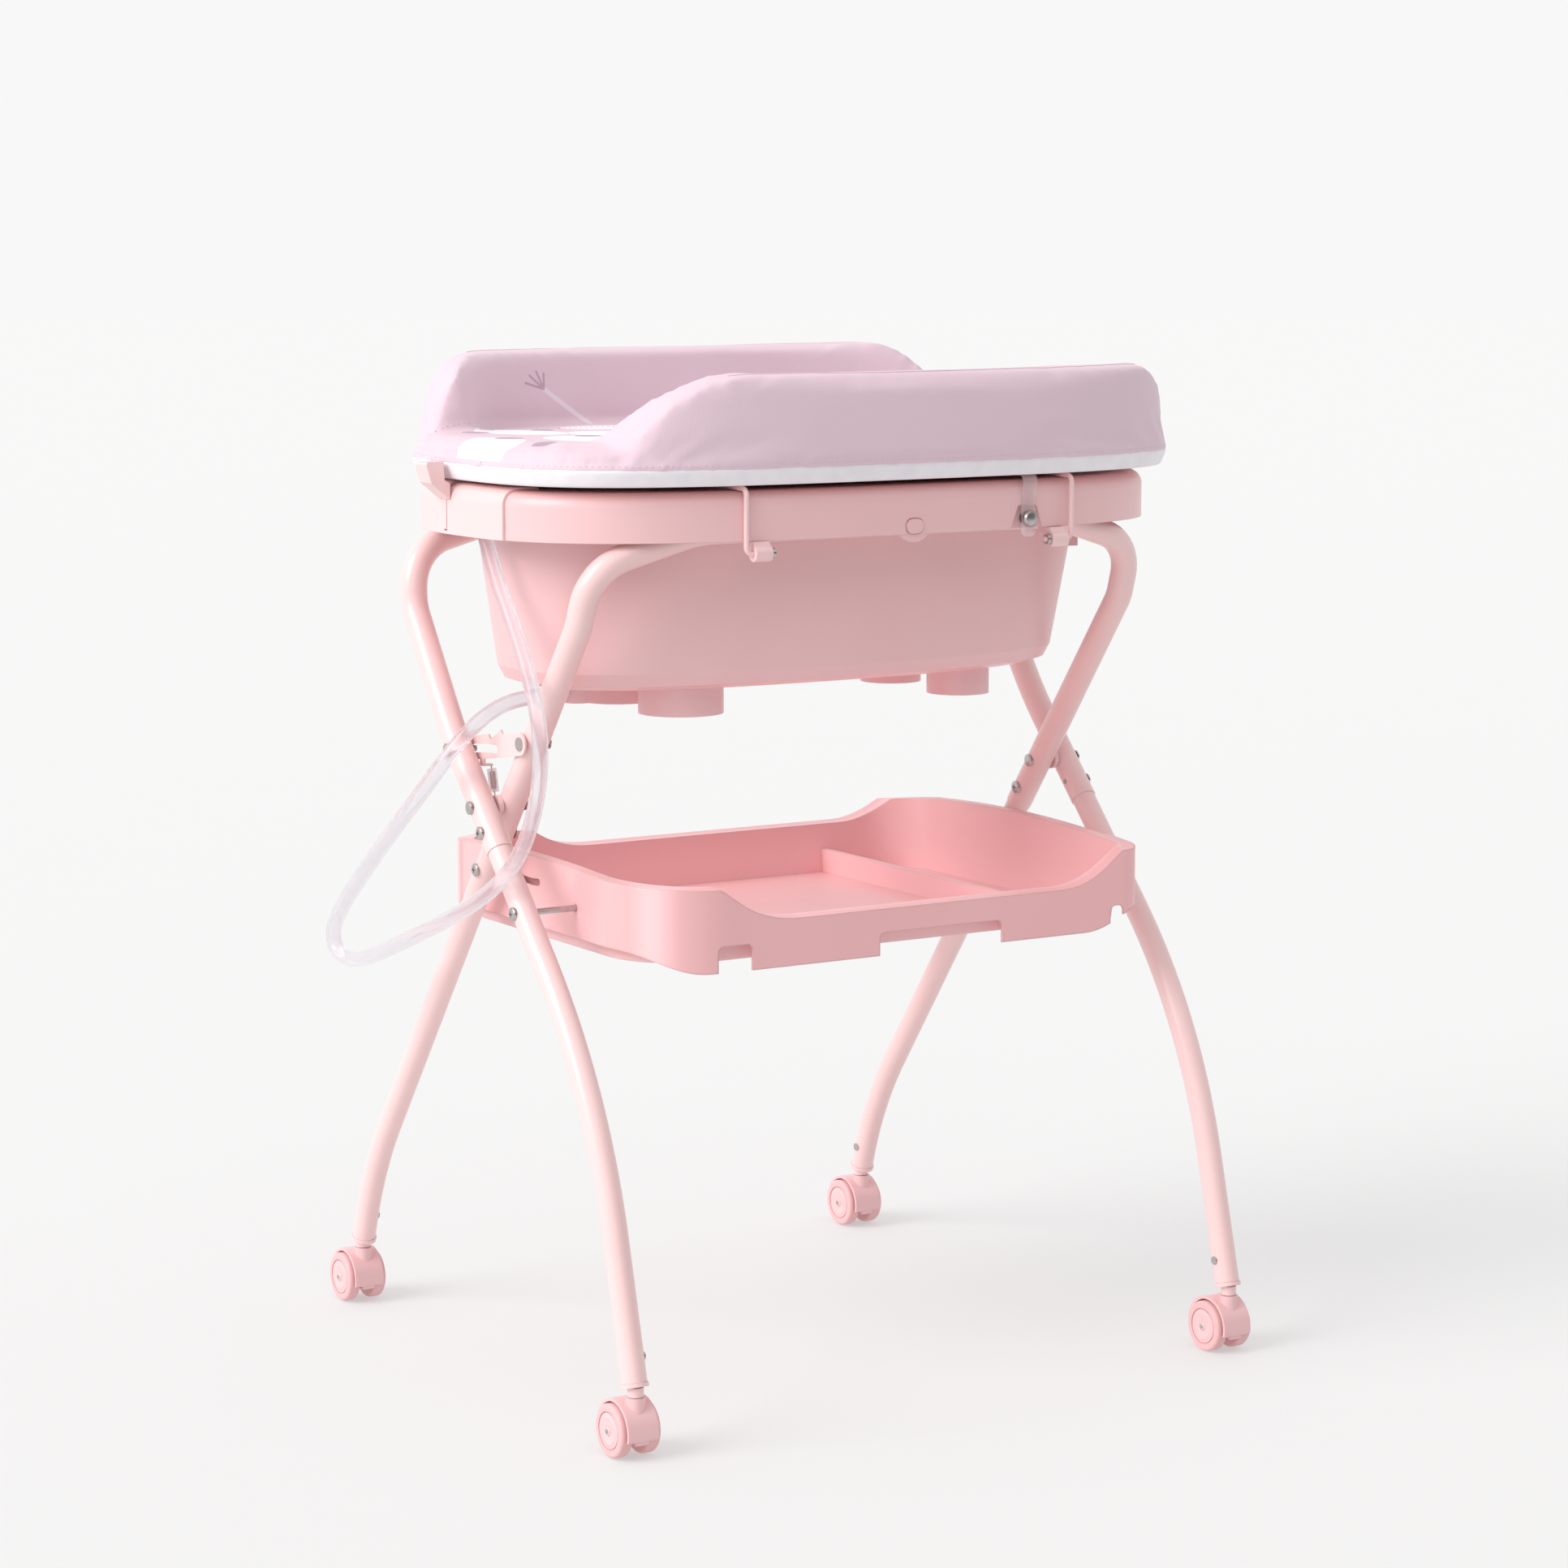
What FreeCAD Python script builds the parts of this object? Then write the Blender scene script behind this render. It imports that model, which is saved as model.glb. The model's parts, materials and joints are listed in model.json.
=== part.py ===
"""Changing table: a folding tube stand on castors, a bath, a padded changing top and a storage tray.

Frame: millimetres, +X along the long side, +Y to the rear, +Z up.  The origin is on the floor
at the middle of the stand's footprint.  The stand is two crossed tube frames: the inner frame has its
feet at the rear and its crossbar under the front of the bath, the outer frame the other way round.
"""
import FreeCAD
import Part
import math
import os

os.makedirs("parts", exist_ok=True)

V = FreeCAD.Vector
X_AXIS = V(1, 0, 0)
Y_AXIS = V(0, 1, 0)
Z_AXIS = V(0, 0, 1)

# ---------------------------------------------------------------- driving dimensions
RUNNING = 0.1            # radial clearance of pins, stems and axles that turn
SEAT = 0.3               # gap between parts that rest on each other
SNUG = 0.05              # radial clearance of parts fixed in a hole

# stand
PIVOT_Y, PIVOT_Z = -38.5, 562.0
INNER_X, OUTER_X = 307.0, 338.0
HOOP_OD, LEG_OD, TUBE_WALL = 26.0, 24.0, 1.5
NECK_LENGTH = 40.0
INNER_SLOPE = 0.745      # run in Y for each mm of height
OUTER_SLOPE = 0.92
OUTER_TOP_SLOPE = 0.69
INNER_FOOT_SLOPE, OUTER_FOOT_SLOPE = 0.30, 0.26
INNER_FOOT_Y, OUTER_FOOT_Y = 298.0, -326.0
FOOT_Z = 62.0
LEG_END_Z = 70.0
INNER_FOOT_BEND, OUTER_FOOT_BEND = 400.0, 540.0
OUTER_KINK_Z, OUTER_KINK_BEND = 624.0, 400.0
INNER_SEAM_DROP, OUTER_SEAM_DROP = 48.0, 38.0
KNEE_Z, CORNER_Z = 742.0, 797.0
CROSSBAR_Z, CROSSBAR_OFFSET = 829.0, 168.0
CROSSBAR_HALF = 200.0
KNEE_BEND, CORNER_BEND, RISE_BEND = 45.0, 52.0, 120.0
CORNER_INSET = 2.0
FOLD_MAX = 42.0

# castors
WHEEL_R, WHEEL_WIDTH, WHEEL_SPACING = 25.0, 13.0, 29.0
CASTOR_TRAIL = 14.0
HOOD_R, HOOD_WALL, HOOD_WIDTH = 29.5, 3.0, 32.0
WEB_WIDTH = 13.6
STEM_D, AXLE_D = 8.0, 6.0
STEM_TOP = 82.0
PLUG_BOSS_D = 15.0
CASTOR_GAP = 0.5

# bath
BATH_Y = -39.0
RIM_HALF_X, RIM_HALF_Y, RIM_SHIFT = 363.0, 211.0, 4.0
RIM_TOP, SKIRT_BOTTOM = 866.5, 820.5
RIM_ROUND = 14.0
SHELL = 3.0
BATH_TOP_X, BATH_TOP_Y = 325.0, 153.0
BATH_LOW_X, BATH_LOW_Y = 295.0, 136.0
BATH_FLOOR_X, BATH_FLOOR_Y = 273.0, 115.0
BATH_TOP_SHIFT, BATH_LOW_SHIFT = -2.0, -10.0
BATH_REAR_LEAN = 5.0
BATH_LOW_Z, BATH_BOTTOM = 692.0, 675.0
BATH_POWER, RIM_POWER, PAD_POWER = 2.65, 3.0, 3.3
FOOT_BOTTOM = 647.0
FOOT_SPREAD = 61.0
LEFT_FOOT_X, LEFT_FOOT_R = -156.0, 41.0
RIGHT_FOOT_X, RIGHT_FOOT_R = 163.0, 31.0
DRAIN_X, DRAIN_Y = -232.0, -34.0
DRAIN_HOLE_D, DRAIN_FLANGE_D, DRAIN_DEPTH = 24.0, 36.0, 20.0
SPOUT_D, SPOUT_Z = 11.0, 664.0
SADDLE_X, SADDLE_WIDTH = 140.0, 30.0
COVER_HALF, COVER_THICK, COVER_REACH, COVER_Y = 103.0, 2.4, 42.0, -14.0
LATCH_SLOT = 7.0

# changing top
PAD_SHIFT = 11.0
PAD_HALF_X, PAD_HALF_Y = 375.5, 222.0
BOARD_BOTTOM, BOARD_THICK, BOARD_INSET = 872.2, 6.0, 7.0
BAND_TOP, BAND_THICK = 887.0, 3.0
BED_TOP = 905.0
FRONT_WALL_TOP, REAR_WALL_TOP = 972.0, 984.0
WALL_THICK, WALL_TOP_THICK, WALL_LEAN = 50.0, 32.0, 8.0
WALL_END_FROM_MIDDLE = 110.0
HINGE_Y, HINGE_Z = -246.0, 809.0
WIRE_D = 5.0
WIRE_LEFT_X, WIRE_RIGHT_X = -171.0, 195.0
WIRE_REACH = 120.0
BARREL_D, BARREL_LENGTH = 15.0, 18.0
STRAP_X, STRAP_WIDTH, STRAP_THICK = 143.0, 17.0, 1.0
STUD_Z, STUD_D = 830.0, 13.0
BUTTON_X, BUTTON_Z = 11.5, 828.0
BUTTON_LONG, BUTTON_HIGH, BUTTON_TRAVEL = 19.0, 14.0, 3.0

# tray
TRAY_HALF_X, TRAY_FRONT, TRAY_REAR = 288.0, -249.0, 172.0
TRAY_BOTTOM, TRAY_FLOOR, TRAY_LIP = 421.0, 432.0, 466.0
TRAY_END_BOTTOM, TRAY_RECESS = 444.0, 4.0
TRAY_END_TOP, TRAY_REAR_RISE = 513.0, 17.0
LIP_WIDTH, TRAY_WALL = 15.0, 3.0
TRAY_PIN_DROP, REST_PIN_DROP, TRAY_PIN_D = 90.0, 69.0, 6.0
DIVIDER_X, DIVIDER_TOP = 165.0, 456.0

# folding stay between the frames, on the left side
STAY_RIVET_RISE, STAY_PIN_RISE = 64.0, 50.0
STAY_THICK, STAY_HALF_HEIGHT = 2.0, 11.0
STAY_PIN_D = 6.0
STAY_RATIO = 0.40        # stay turn for each degree of fold
TRAY_RATIO = -0.18       # tray turn on the outer frame for each degree of fold

# drain hose
HOSE_D = 15.0


# ---------------------------------------------------------------- helpers
def save(name, *solids):
    shape = solids[0] if len(solids) == 1 else Part.makeCompound(list(solids))
    shape.exportStep("parts/%s.step" % name)


def box(x0, x1, y0, y1, z0, z1):
    return Part.makeBox(x1 - x0, y1 - y0, z1 - z0, V(x0, y0, z0))


def rod(diameter, start, end):
    """Round bar between two points."""
    along = end - start
    return Part.makeCylinder(diameter / 2, along.Length, start, along)


def ring(outer, inner, start, end):
    return rod(outer, start, end).cut(rod(inner, start, end))


def fused(shapes):
    result = shapes[0].multiFuse(shapes[1:])
    return result.removeSplitter()


def rounded_path(points, radii):
    """Straight runs joined by tangent arcs; one radius for each inner point."""
    edges = []
    start = points[0]
    for i in range(1, len(points) - 1):
        back = (points[i - 1] - points[i]).normalize()
        ahead = (points[i + 1] - points[i]).normalize()
        half = back.getAngle(ahead) / 2
        reach = radii[i - 1] / math.tan(half)
        enter = points[i] + back * reach
        leave = points[i] + ahead * reach
        inward = (back + ahead).normalize()
        middle = points[i] + inward * (radii[i - 1] / math.sin(half) - radii[i - 1])
        if (enter - start).dot(points[i] - points[i - 1]) < 0:
            raise ValueError("bends overlap before point %d" % i)
        if (enter - start).Length > 1e-6:
            edges.append(Part.LineSegment(start, enter).toShape())
        edges.append(Part.Arc(enter, middle, leave).toShape())
        start = leave
    edges.append(Part.LineSegment(start, points[-1]).toShape())
    return Part.Wire(edges)


def swept(path, diameter):
    """Round bar along a path of lines and arcs."""
    first = path.OrderedEdges[0]
    start = first.valueAt(first.FirstParameter)
    along = first.tangentAt(first.FirstParameter)
    circle = Part.Wire(Part.makeCircle(diameter / 2, start, along))
    return Part.Wire(path).makePipeShell([circle], True, False)


def tube(path, outer, wall):
    return swept(path, outer).cut(swept(path, outer - 2 * wall))


def oval(half_x, half_y, z, shift_x=0.0, shift_y=BATH_Y, inset=0.0, fullness=BATH_POWER):
    """Closed superellipse wire at a height."""
    count = 48
    a, b, power = half_x - inset, half_y - inset, 2.0 / fullness
    points = []
    for i in range(count):
        t = 2 * math.pi * (i + 0.5) / count
        c, s = math.cos(t), math.sin(t)
        x = a * math.copysign(abs(c) ** power, c)
        y = b * math.copysign(abs(s) ** power, s)
        points.append(V(x + shift_x, y + shift_y, z))
    curve = Part.BSplineCurve()
    curve.interpolate(Points=points, PeriodicFlag=True)
    return Part.Wire(curve.toShape())


def rim_oval(z, inset=0.0):
    return oval(RIM_HALF_X, RIM_HALF_Y, z, RIM_SHIFT, inset=inset, fullness=RIM_POWER)


def pad_oval(z, inset=0.0):
    return oval(PAD_HALF_X, PAD_HALF_Y, z, PAD_SHIFT, inset=inset, fullness=PAD_POWER)


def prism(wire, height):
    return Part.Face(wire).extrude(V(0, 0, height))


def loft(wires):
    return Part.makeLoft(wires, True, False)


def outline(points, plane_at, along):
    """Flat polygon in the YZ plane (x = plane_at), extruded along X."""
    corners = [V(plane_at, y, z) for y, z in points]
    corners.append(corners[0])
    return Part.Face(Part.makePolygon(corners)).extrude(V(along, 0, 0))


def mirrored(shape):
    return shape.mirror(V(0, 0, 0), X_AXIS)


def turned(point, centre, degrees):
    """(y, z) point turned about X round a centre."""
    a = math.radians(degrees)
    dy, dz = point[0] - centre[0], point[1] - centre[1]
    return (centre[0] + dy * math.cos(a) - dz * math.sin(a),
            centre[1] + dy * math.sin(a) + dz * math.cos(a))


def slot_along(spots, diameter, x0, x1):
    """Slot swept by a pin that visits a row of (y, z) places."""
    pieces = []
    for y, z in spots:
        pieces.append(rod(diameter, V(x0, y, z), V(x1, y, z)))
    for (y0, z0), (y1, z1) in zip(spots, spots[1:]):
        along = V(0, y1 - y0, z1 - z0)
        if along.Length < 0.01:
            continue
        side = V(0, -along.z, along.y).normalize() * (diameter / 2)
        a, b = V(x0, y0, z0), V(x0, y1, z1)
        corners = [a + side, b + side, b - side, a - side, a + side]
        pieces.append(Part.Face(Part.makePolygon(corners)).extrude(V(x1 - x0, 0, 0)))
    return fused(pieces)


# ---------------------------------------------------------------- lines of the stand
PIVOT = (PIVOT_Y, PIVOT_Z)
FRONT_BAR_Y = BATH_Y - CROSSBAR_OFFSET
REAR_BAR_Y = BATH_Y + CROSSBAR_OFFSET


def inner_y(z):
    return PIVOT_Y - INNER_SLOPE * (z - PIVOT_Z)


def outer_y(z):
    if z <= OUTER_KINK_Z:
        return PIVOT_Y + OUTER_SLOPE * (z - PIVOT_Z)
    return PIVOT_Y + OUTER_SLOPE * (OUTER_KINK_Z - PIVOT_Z) + OUTER_TOP_SLOPE * (z - OUTER_KINK_Z)


def foot_knee(foot_y, foot_slope, leg_slope):
    """Where the foot's line meets the leg's line, as (y, z)."""
    z = (PIVOT_Y - leg_slope * PIVOT_Z - foot_y + foot_slope * FOOT_Z) / (foot_slope - leg_slope)
    return foot_y + foot_slope * (z - FOOT_Z), z


def inner_foot_y(z):
    return INNER_FOOT_Y - INNER_FOOT_SLOPE * (z - FOOT_Z)


def outer_foot_y(z):
    return OUTER_FOOT_Y + OUTER_FOOT_SLOPE * (z - FOOT_Z)


INNER_SEAM_Z = PIVOT_Z - INNER_SEAM_DROP
OUTER_SEAM_Z = PIVOT_Z - OUTER_SEAM_DROP


def hoop(leg_x, seam, kink, knee, corner_y, bar_y):
    """Upper U-shaped tube of one frame: up the left leg, across under the rim and down the right."""
    half = [V(-leg_x, seam[0], seam[1])]
    radii = []
    if kink:
        half.append(V(-leg_x, kink[0], kink[1]))
        radii.append(OUTER_KINK_BEND)
    half.append(V(-leg_x, knee[0], knee[1]))
    radii.append(KNEE_BEND)
    half.append(V(-leg_x + CORNER_INSET, corner_y, CORNER_Z))
    radii.append(CORNER_BEND)
    half.append(V(-CROSSBAR_HALF, bar_y, CROSSBAR_Z))
    radii.append(RISE_BEND)
    other = [V(-p.x, p.y, p.z) for p in reversed(half)]
    return tube(rounded_path(half + other, radii + radii[::-1]), HOOP_OD, TUBE_WALL)


def leg(leg_x, seam, knee, bend, end, neck_end):
    """Lower leg: a bent tube with a necked top that plugs into the hoop."""
    path = rounded_path([V(leg_x, *seam), V(leg_x, *knee), V(leg_x, *end)], [bend])
    body = tube(path, LEG_OD, TUBE_WALL)
    neck_od = HOOP_OD - 2 * TUBE_WALL - 2 * SNUG
    neck = ring(neck_od, LEG_OD - 2 * TUBE_WALL - 2.0, V(leg_x, *seam), V(leg_x, *neck_end))
    return body.fuse(neck)


def along_line(line, z, distance):
    """Point a distance further up a leg line."""
    slope = (line(z + 1) - line(z))
    rise = distance / math.hypot(1, slope)
    return line(z + rise), z + rise


inner_knee = foot_knee(INNER_FOOT_Y, -INNER_FOOT_SLOPE, -INNER_SLOPE)
outer_knee = foot_knee(OUTER_FOOT_Y, OUTER_FOOT_SLOPE, OUTER_SLOPE)
inner_seam = (inner_y(INNER_SEAM_Z), INNER_SEAM_Z)
outer_seam = (outer_y(OUTER_SEAM_Z), OUTER_SEAM_Z)
CORNER_FROM_BAR = 15.0

inner_hoop = hoop(INNER_X, inner_seam, None, (inner_y(KNEE_Z), KNEE_Z),
                  FRONT_BAR_Y + CORNER_FROM_BAR, FRONT_BAR_Y)
outer_hoop = hoop(OUTER_X, outer_seam, (outer_y(OUTER_KINK_Z), OUTER_KINK_Z),
                  (outer_y(KNEE_Z), KNEE_Z), REAR_BAR_Y - CORNER_FROM_BAR - 8, REAR_BAR_Y)
inner_leg = leg(INNER_X, inner_seam, inner_knee, INNER_FOOT_BEND,
                (inner_foot_y(LEG_END_Z), LEG_END_Z), along_line(inner_y, INNER_SEAM_Z, NECK_LENGTH))
outer_leg = leg(OUTER_X, outer_seam, outer_knee, OUTER_FOOT_BEND,
                (outer_foot_y(LEG_END_Z), LEG_END_Z), along_line(outer_y, OUTER_SEAM_Z, NECK_LENGTH))

# ---------------------------------------------------------------- pins and screws of the stand
PIVOT_D = 8.0
HEAD_D, HEAD_THICK = 13.0, 1.6
SCREW_D = 5.0
SPACER_D = 20.0
FRAME_GAP = (OUTER_X - INNER_X) - HOOP_OD
stay_rivet_spot = (inner_y(PIVOT_Z + STAY_RIVET_RISE), PIVOT_Z + STAY_RIVET_RISE)
stay_pin_spot = (outer_y(PIVOT_Z + STAY_PIN_RISE), PIVOT_Z + STAY_PIN_RISE)
tray_pin_spot = (outer_y(PIVOT_Z - TRAY_PIN_DROP), PIVOT_Z - TRAY_PIN_DROP)
rest_pin_spot = (inner_y(PIVOT_Z - REST_PIN_DROP), PIVOT_Z - REST_PIN_DROP)
SCREW_UP = 22.0          # joint screws sit this far above each seam
inner_screw_spot = along_line(inner_y, INNER_SEAM_Z, SCREW_UP)
outer_screw_spot = along_line(outer_y, OUTER_SEAM_Z, SCREW_UP)


def cross_pin(x0, x1, spot, diameter, head_x0=None, head_x1=None):
    """Pin along X with a flat head at either end."""
    pieces = [rod(diameter, V(x0, *spot), V(x1, *spot))]
    for head in (head_x0, head_x1):
        if head:
            pieces.append(rod(HEAD_D, V(head[0], *spot), V(head[1], *spot)))
    return fused(pieces) if len(pieces) > 1 else pieces[0]


def hole(spot, diameter, x0, x1):
    return rod(diameter, V(x0, *spot), V(x1, *spot))


def both_sides(shape):
    return [shape, mirrored(shape)]


inner_face, inner_back = INNER_X - HOOP_OD / 2, INNER_X + HOOP_OD / 2
outer_face, outer_back = OUTER_X - HOOP_OD / 2, OUTER_X + HOOP_OD / 2
far = OUTER_X + 40.0
near = INNER_X - 40.0

pivot_rivet = cross_pin(inner_face - HEAD_THICK, outer_back + HEAD_THICK, PIVOT, PIVOT_D,
                        (inner_face - HEAD_THICK, inner_face), (outer_back + SEAT, outer_back + SEAT + HEAD_THICK))
pivot_spacer = ring(SPACER_D, PIVOT_D + 2 * SNUG, V(inner_back + SNUG, *PIVOT),
                    V(outer_face - SEAT, *PIVOT))
inner_screw = cross_pin(inner_face - HEAD_THICK, inner_back + 0.5, inner_screw_spot, SCREW_D,
                        (inner_face - HEAD_THICK, inner_face))
outer_screw = cross_pin(outer_face - 0.5, outer_back + HEAD_THICK, outer_screw_spot, SCREW_D,
                        (outer_back, outer_back + HEAD_THICK))
TRAY_PIN_END = TRAY_HALF_X - 9.0
tray_pin = cross_pin(TRAY_PIN_END, outer_back - 1.0 + HEAD_THICK, tray_pin_spot, TRAY_PIN_D,
                     (outer_back - 1.0, outer_back - 1.0 + HEAD_THICK))
rest_pin = cross_pin(TRAY_PIN_END, inner_back - 1.0 + HEAD_THICK, rest_pin_spot, TRAY_PIN_D,
                     (inner_back - 1.0, inner_back - 1.0 + HEAD_THICK))
STAY_X0 = -(inner_back + 1.5 + STAY_THICK)
STAY_X1 = STAY_X0 + STAY_THICK
stay_rivet = fused([hole(stay_rivet_spot, PIVOT_D - 1, STAY_X0 - 1.0, -inner_face + HEAD_THICK),
                    hole(stay_rivet_spot, HEAD_D, STAY_X0 - 1.2, STAY_X0 - SEAT),
                    hole(stay_rivet_spot, HEAD_D, -inner_face, -inner_face + HEAD_THICK)])
stay_slot_pin = fused([hole(stay_pin_spot, STAY_PIN_D, -outer_back - HEAD_THICK, STAY_X1 + 0.8),
                       hole(stay_pin_spot, HEAD_D, -outer_back - HEAD_THICK, -outer_back)])

inner_holes = [hole(PIVOT, PIVOT_D + 2 * SNUG, near, far), hole(inner_screw_spot, SCREW_D + 2 * SNUG, near, far)]
outer_holes = [hole(PIVOT, PIVOT_D + 2 * RUNNING, near, far), hole(outer_screw_spot, SCREW_D + 2 * SNUG, near, far)]
inner_leg_holes = [hole(inner_screw_spot, SCREW_D + 2 * SNUG, near, far),
                   hole(rest_pin_spot, TRAY_PIN_D + 2 * SNUG, near, far)]
outer_leg_holes = [hole(outer_screw_spot, SCREW_D + 2 * SNUG, near, far),
                   hole(tray_pin_spot, TRAY_PIN_D + 2 * SNUG, near, far)]
inner_hoop = inner_hoop.cut(inner_holes + [mirrored(h) for h in inner_holes]
                            + [hole(stay_rivet_spot, PIVOT_D - 1 + 2 * SNUG, -far, -near)])
outer_hoop = outer_hoop.cut(outer_holes + [mirrored(h) for h in outer_holes]
                            + [hole(stay_pin_spot, STAY_PIN_D + 2 * SNUG, -far, -near)])
inner_leg = inner_leg.cut(inner_leg_holes)
outer_leg = outer_leg.cut(outer_leg_holes)


# ---------------------------------------------------------------- foot plugs
def foot_plug(leg_x, foot_line, seam, knee, bend):
    """Moulded plug in the end of a leg, with an upright boss for the castor stem."""
    foot_y = foot_line(FOOT_Z)
    end = V(leg_x, foot_line(LEG_END_Z), LEG_END_Z)
    up = (V(leg_x, foot_line(LEG_END_Z + 1), LEG_END_Z + 1) - end).normalize()
    path = rounded_path([V(leg_x, *seam), V(leg_x, *knee), end - up * 3], [bend])
    insert = swept(path, LEG_OD - 2 * TUBE_WALL - 2 * SNUG).common(
        Part.makeBox(40, 60, 60, V(leg_x - 20, end.y - 30, LEG_END_Z - 30)))
    collar = rod(LEG_OD + 2, end - up * 4, end - up * SNUG)
    boss = rod(PLUG_BOSS_D, V(leg_x, foot_y, CASTOR_TOP + CASTOR_GAP), V(leg_x, foot_y, LEG_END_Z + 6))
    inside = rod(LEG_OD - 2 * TUBE_WALL - 2 * SNUG, end - up * 4, end + up * 26)
    upper = boss.common(inside).fuse(boss.common(box(leg_x - 20, leg_x + 20, foot_y - 20, foot_y + 20,
                                                     0, LEG_END_Z - 3)))
    bore = rod(STEM_D + 2 * RUNNING, V(leg_x, foot_y, 40), V(leg_x, foot_y, STEM_TOP + 2))
    return fused([insert, collar, upper]).cut(bore)


def foot_screw(leg_x, foot_line, side):
    """Screw through the leg wall into its plug, a little above the end."""
    z = LEG_END_Z + 22.0
    y = foot_line(z)
    inner = leg_x - side * (LEG_OD / 2)
    return fused([rod(4, V(inner - side * 1.0, y, z), V(inner + side * 4.5, y, z)),
                  rod(8, V(inner - side * 1.2, y, z), V(inner, y, z))])


CASTOR_TOP = 57.5
rear_plug = foot_plug(INNER_X, inner_foot_y, inner_seam, inner_knee, INNER_FOOT_BEND)
front_plug = foot_plug(OUTER_X, outer_foot_y, outer_seam, outer_knee, OUTER_FOOT_BEND)
rear_screw = foot_screw(INNER_X, inner_foot_y, 1)
front_screw = foot_screw(OUTER_X, outer_foot_y, 1)
SCREW_HOLE_Z = LEG_END_Z + 22.0
for_rear = hole((inner_foot_y(SCREW_HOLE_Z), SCREW_HOLE_Z), 4 + 2 * SNUG, INNER_X - 20, INNER_X - 7)
for_front = hole((outer_foot_y(SCREW_HOLE_Z), SCREW_HOLE_Z), 4 + 2 * SNUG, OUTER_X - 20, OUTER_X - 7)
inner_leg = inner_leg.cut(for_rear)
outer_leg = outer_leg.cut(for_front)
rear_plug = rear_plug.cut(for_rear)
front_plug = front_plug.cut(for_front)

save("inner_hoop", inner_hoop)
save("inner_leg_right", inner_leg)
save("inner_leg_left", mirrored(inner_leg))
save("outer_hoop", outer_hoop)
save("outer_leg_right", outer_leg)
save("outer_leg_left", mirrored(outer_leg))
save("rear_foot_plug_right", rear_plug)
save("rear_foot_plug_left", mirrored(rear_plug))
save("front_foot_plug_right", front_plug)
save("front_foot_plug_left", mirrored(front_plug))
save("rear_foot_screws", *both_sides(rear_screw))
save("front_foot_screws", *both_sides(front_screw))
save("pivot_rivets", *both_sides(pivot_rivet))
save("pivot_spacers", *both_sides(pivot_spacer))
save("inner_joint_screws", *both_sides(inner_screw))
save("outer_joint_screws", *both_sides(outer_screw))
save("tray_pins", *both_sides(tray_pin))
save("tray_rest_pins", *both_sides(rest_pin))
save("stay_rivet", stay_rivet)
save("stay_slot_pin", stay_slot_pin)


# ---------------------------------------------------------------- castors
def castor(name, leg_x, foot_y):
    """Twin-wheel castor: hooded fork, stem and axle, and two wheels that turn on their own."""
    axle_y, axle_z = foot_y + CASTOR_TRAIL, WHEEL_R
    centre = V(leg_x, axle_y, axle_z)

    def disc(radius, half_width):
        return Part.makeCylinder(radius, 2 * half_width, centre - V(half_width, 0, 0), X_AXIS)

    arch = disc(HOOD_R, HOOD_WIDTH / 2).cut(disc(HOOD_R - HOOD_WALL, HOOD_WIDTH))
    arch = arch.common(box(leg_x - 40, leg_x + 40, axle_y - 40, axle_y + 40, axle_z - 6, 90))
    web = disc(HOOD_R - 1, WEB_WIDTH / 2)
    web = web.common(box(leg_x - 40, leg_x + 40, axle_y - 40, axle_y + 40, axle_z - 10, 90))
    boss = rod(18, V(leg_x, foot_y, axle_z + 12), V(leg_x, foot_y, CASTOR_TOP))
    boss = boss.cut(disc(WHEEL_R + 1.3, WHEEL_SPACING).cut(disc(WHEEL_R + 1.3, WEB_WIDTH / 2)))
    hood = fused([arch, web, boss])
    hood = hood.cut(rod(STEM_D + 2 * SNUG, V(leg_x, foot_y, axle_z + 14), V(leg_x, foot_y, 90)))
    hood = hood.cut(disc(AXLE_D / 2 + SNUG, 40))
    stem = rod(STEM_D, V(leg_x, foot_y, axle_z + 14), V(leg_x, foot_y, STEM_TOP))
    axle = disc(AXLE_D / 2, WHEEL_SPACING / 2 + WHEEL_WIDTH / 2 - 0.5)
    save("castor_hood_" + name, hood)
    save("castor_pins_" + name, stem, axle)
    for side, way in (("left", -1), ("right", 1)):
        middle = centre + V(way * WHEEL_SPACING / 2, 0, 0)
        half = V(WHEEL_WIDTH / 2, 0, 0)
        wheel = Part.makeCylinder(WHEEL_R, WHEEL_WIDTH, middle - half, X_AXIS)
        rims = [e for e in wheel.Edges if isinstance(e.Curve, Part.Circle)]
        wheel = wheel.makeFillet(3.0, rims)
        dish = Part.makeCylinder(WHEEL_R - 7, 2.0, middle + V(way * (WHEEL_WIDTH / 2 - 1.2), 0, 0), V(way, 0, 0))
        wheel = wheel.cut(dish)
        wheel = wheel.cut(rod(AXLE_D + 2 * RUNNING, middle - half * 2, middle + half * 2))
        save("castor_wheel_%s_%s" % (name, side), wheel)


castor("front_left", -OUTER_X, OUTER_FOOT_Y)
castor("front_right", OUTER_X, OUTER_FOOT_Y)
castor("rear_left", -INNER_X, INNER_FOOT_Y)
castor("rear_right", INNER_X, INNER_FOOT_Y)


# ---------------------------------------------------------------- folding stay
def pin_in_stay(fold):
    """Where the outer frame's pin stands in the stay's own resting frame."""
    pin = turned(stay_pin_spot, PIVOT, fold)
    return turned(pin, stay_rivet_spot, -STAY_RATIO * fold)


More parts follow.
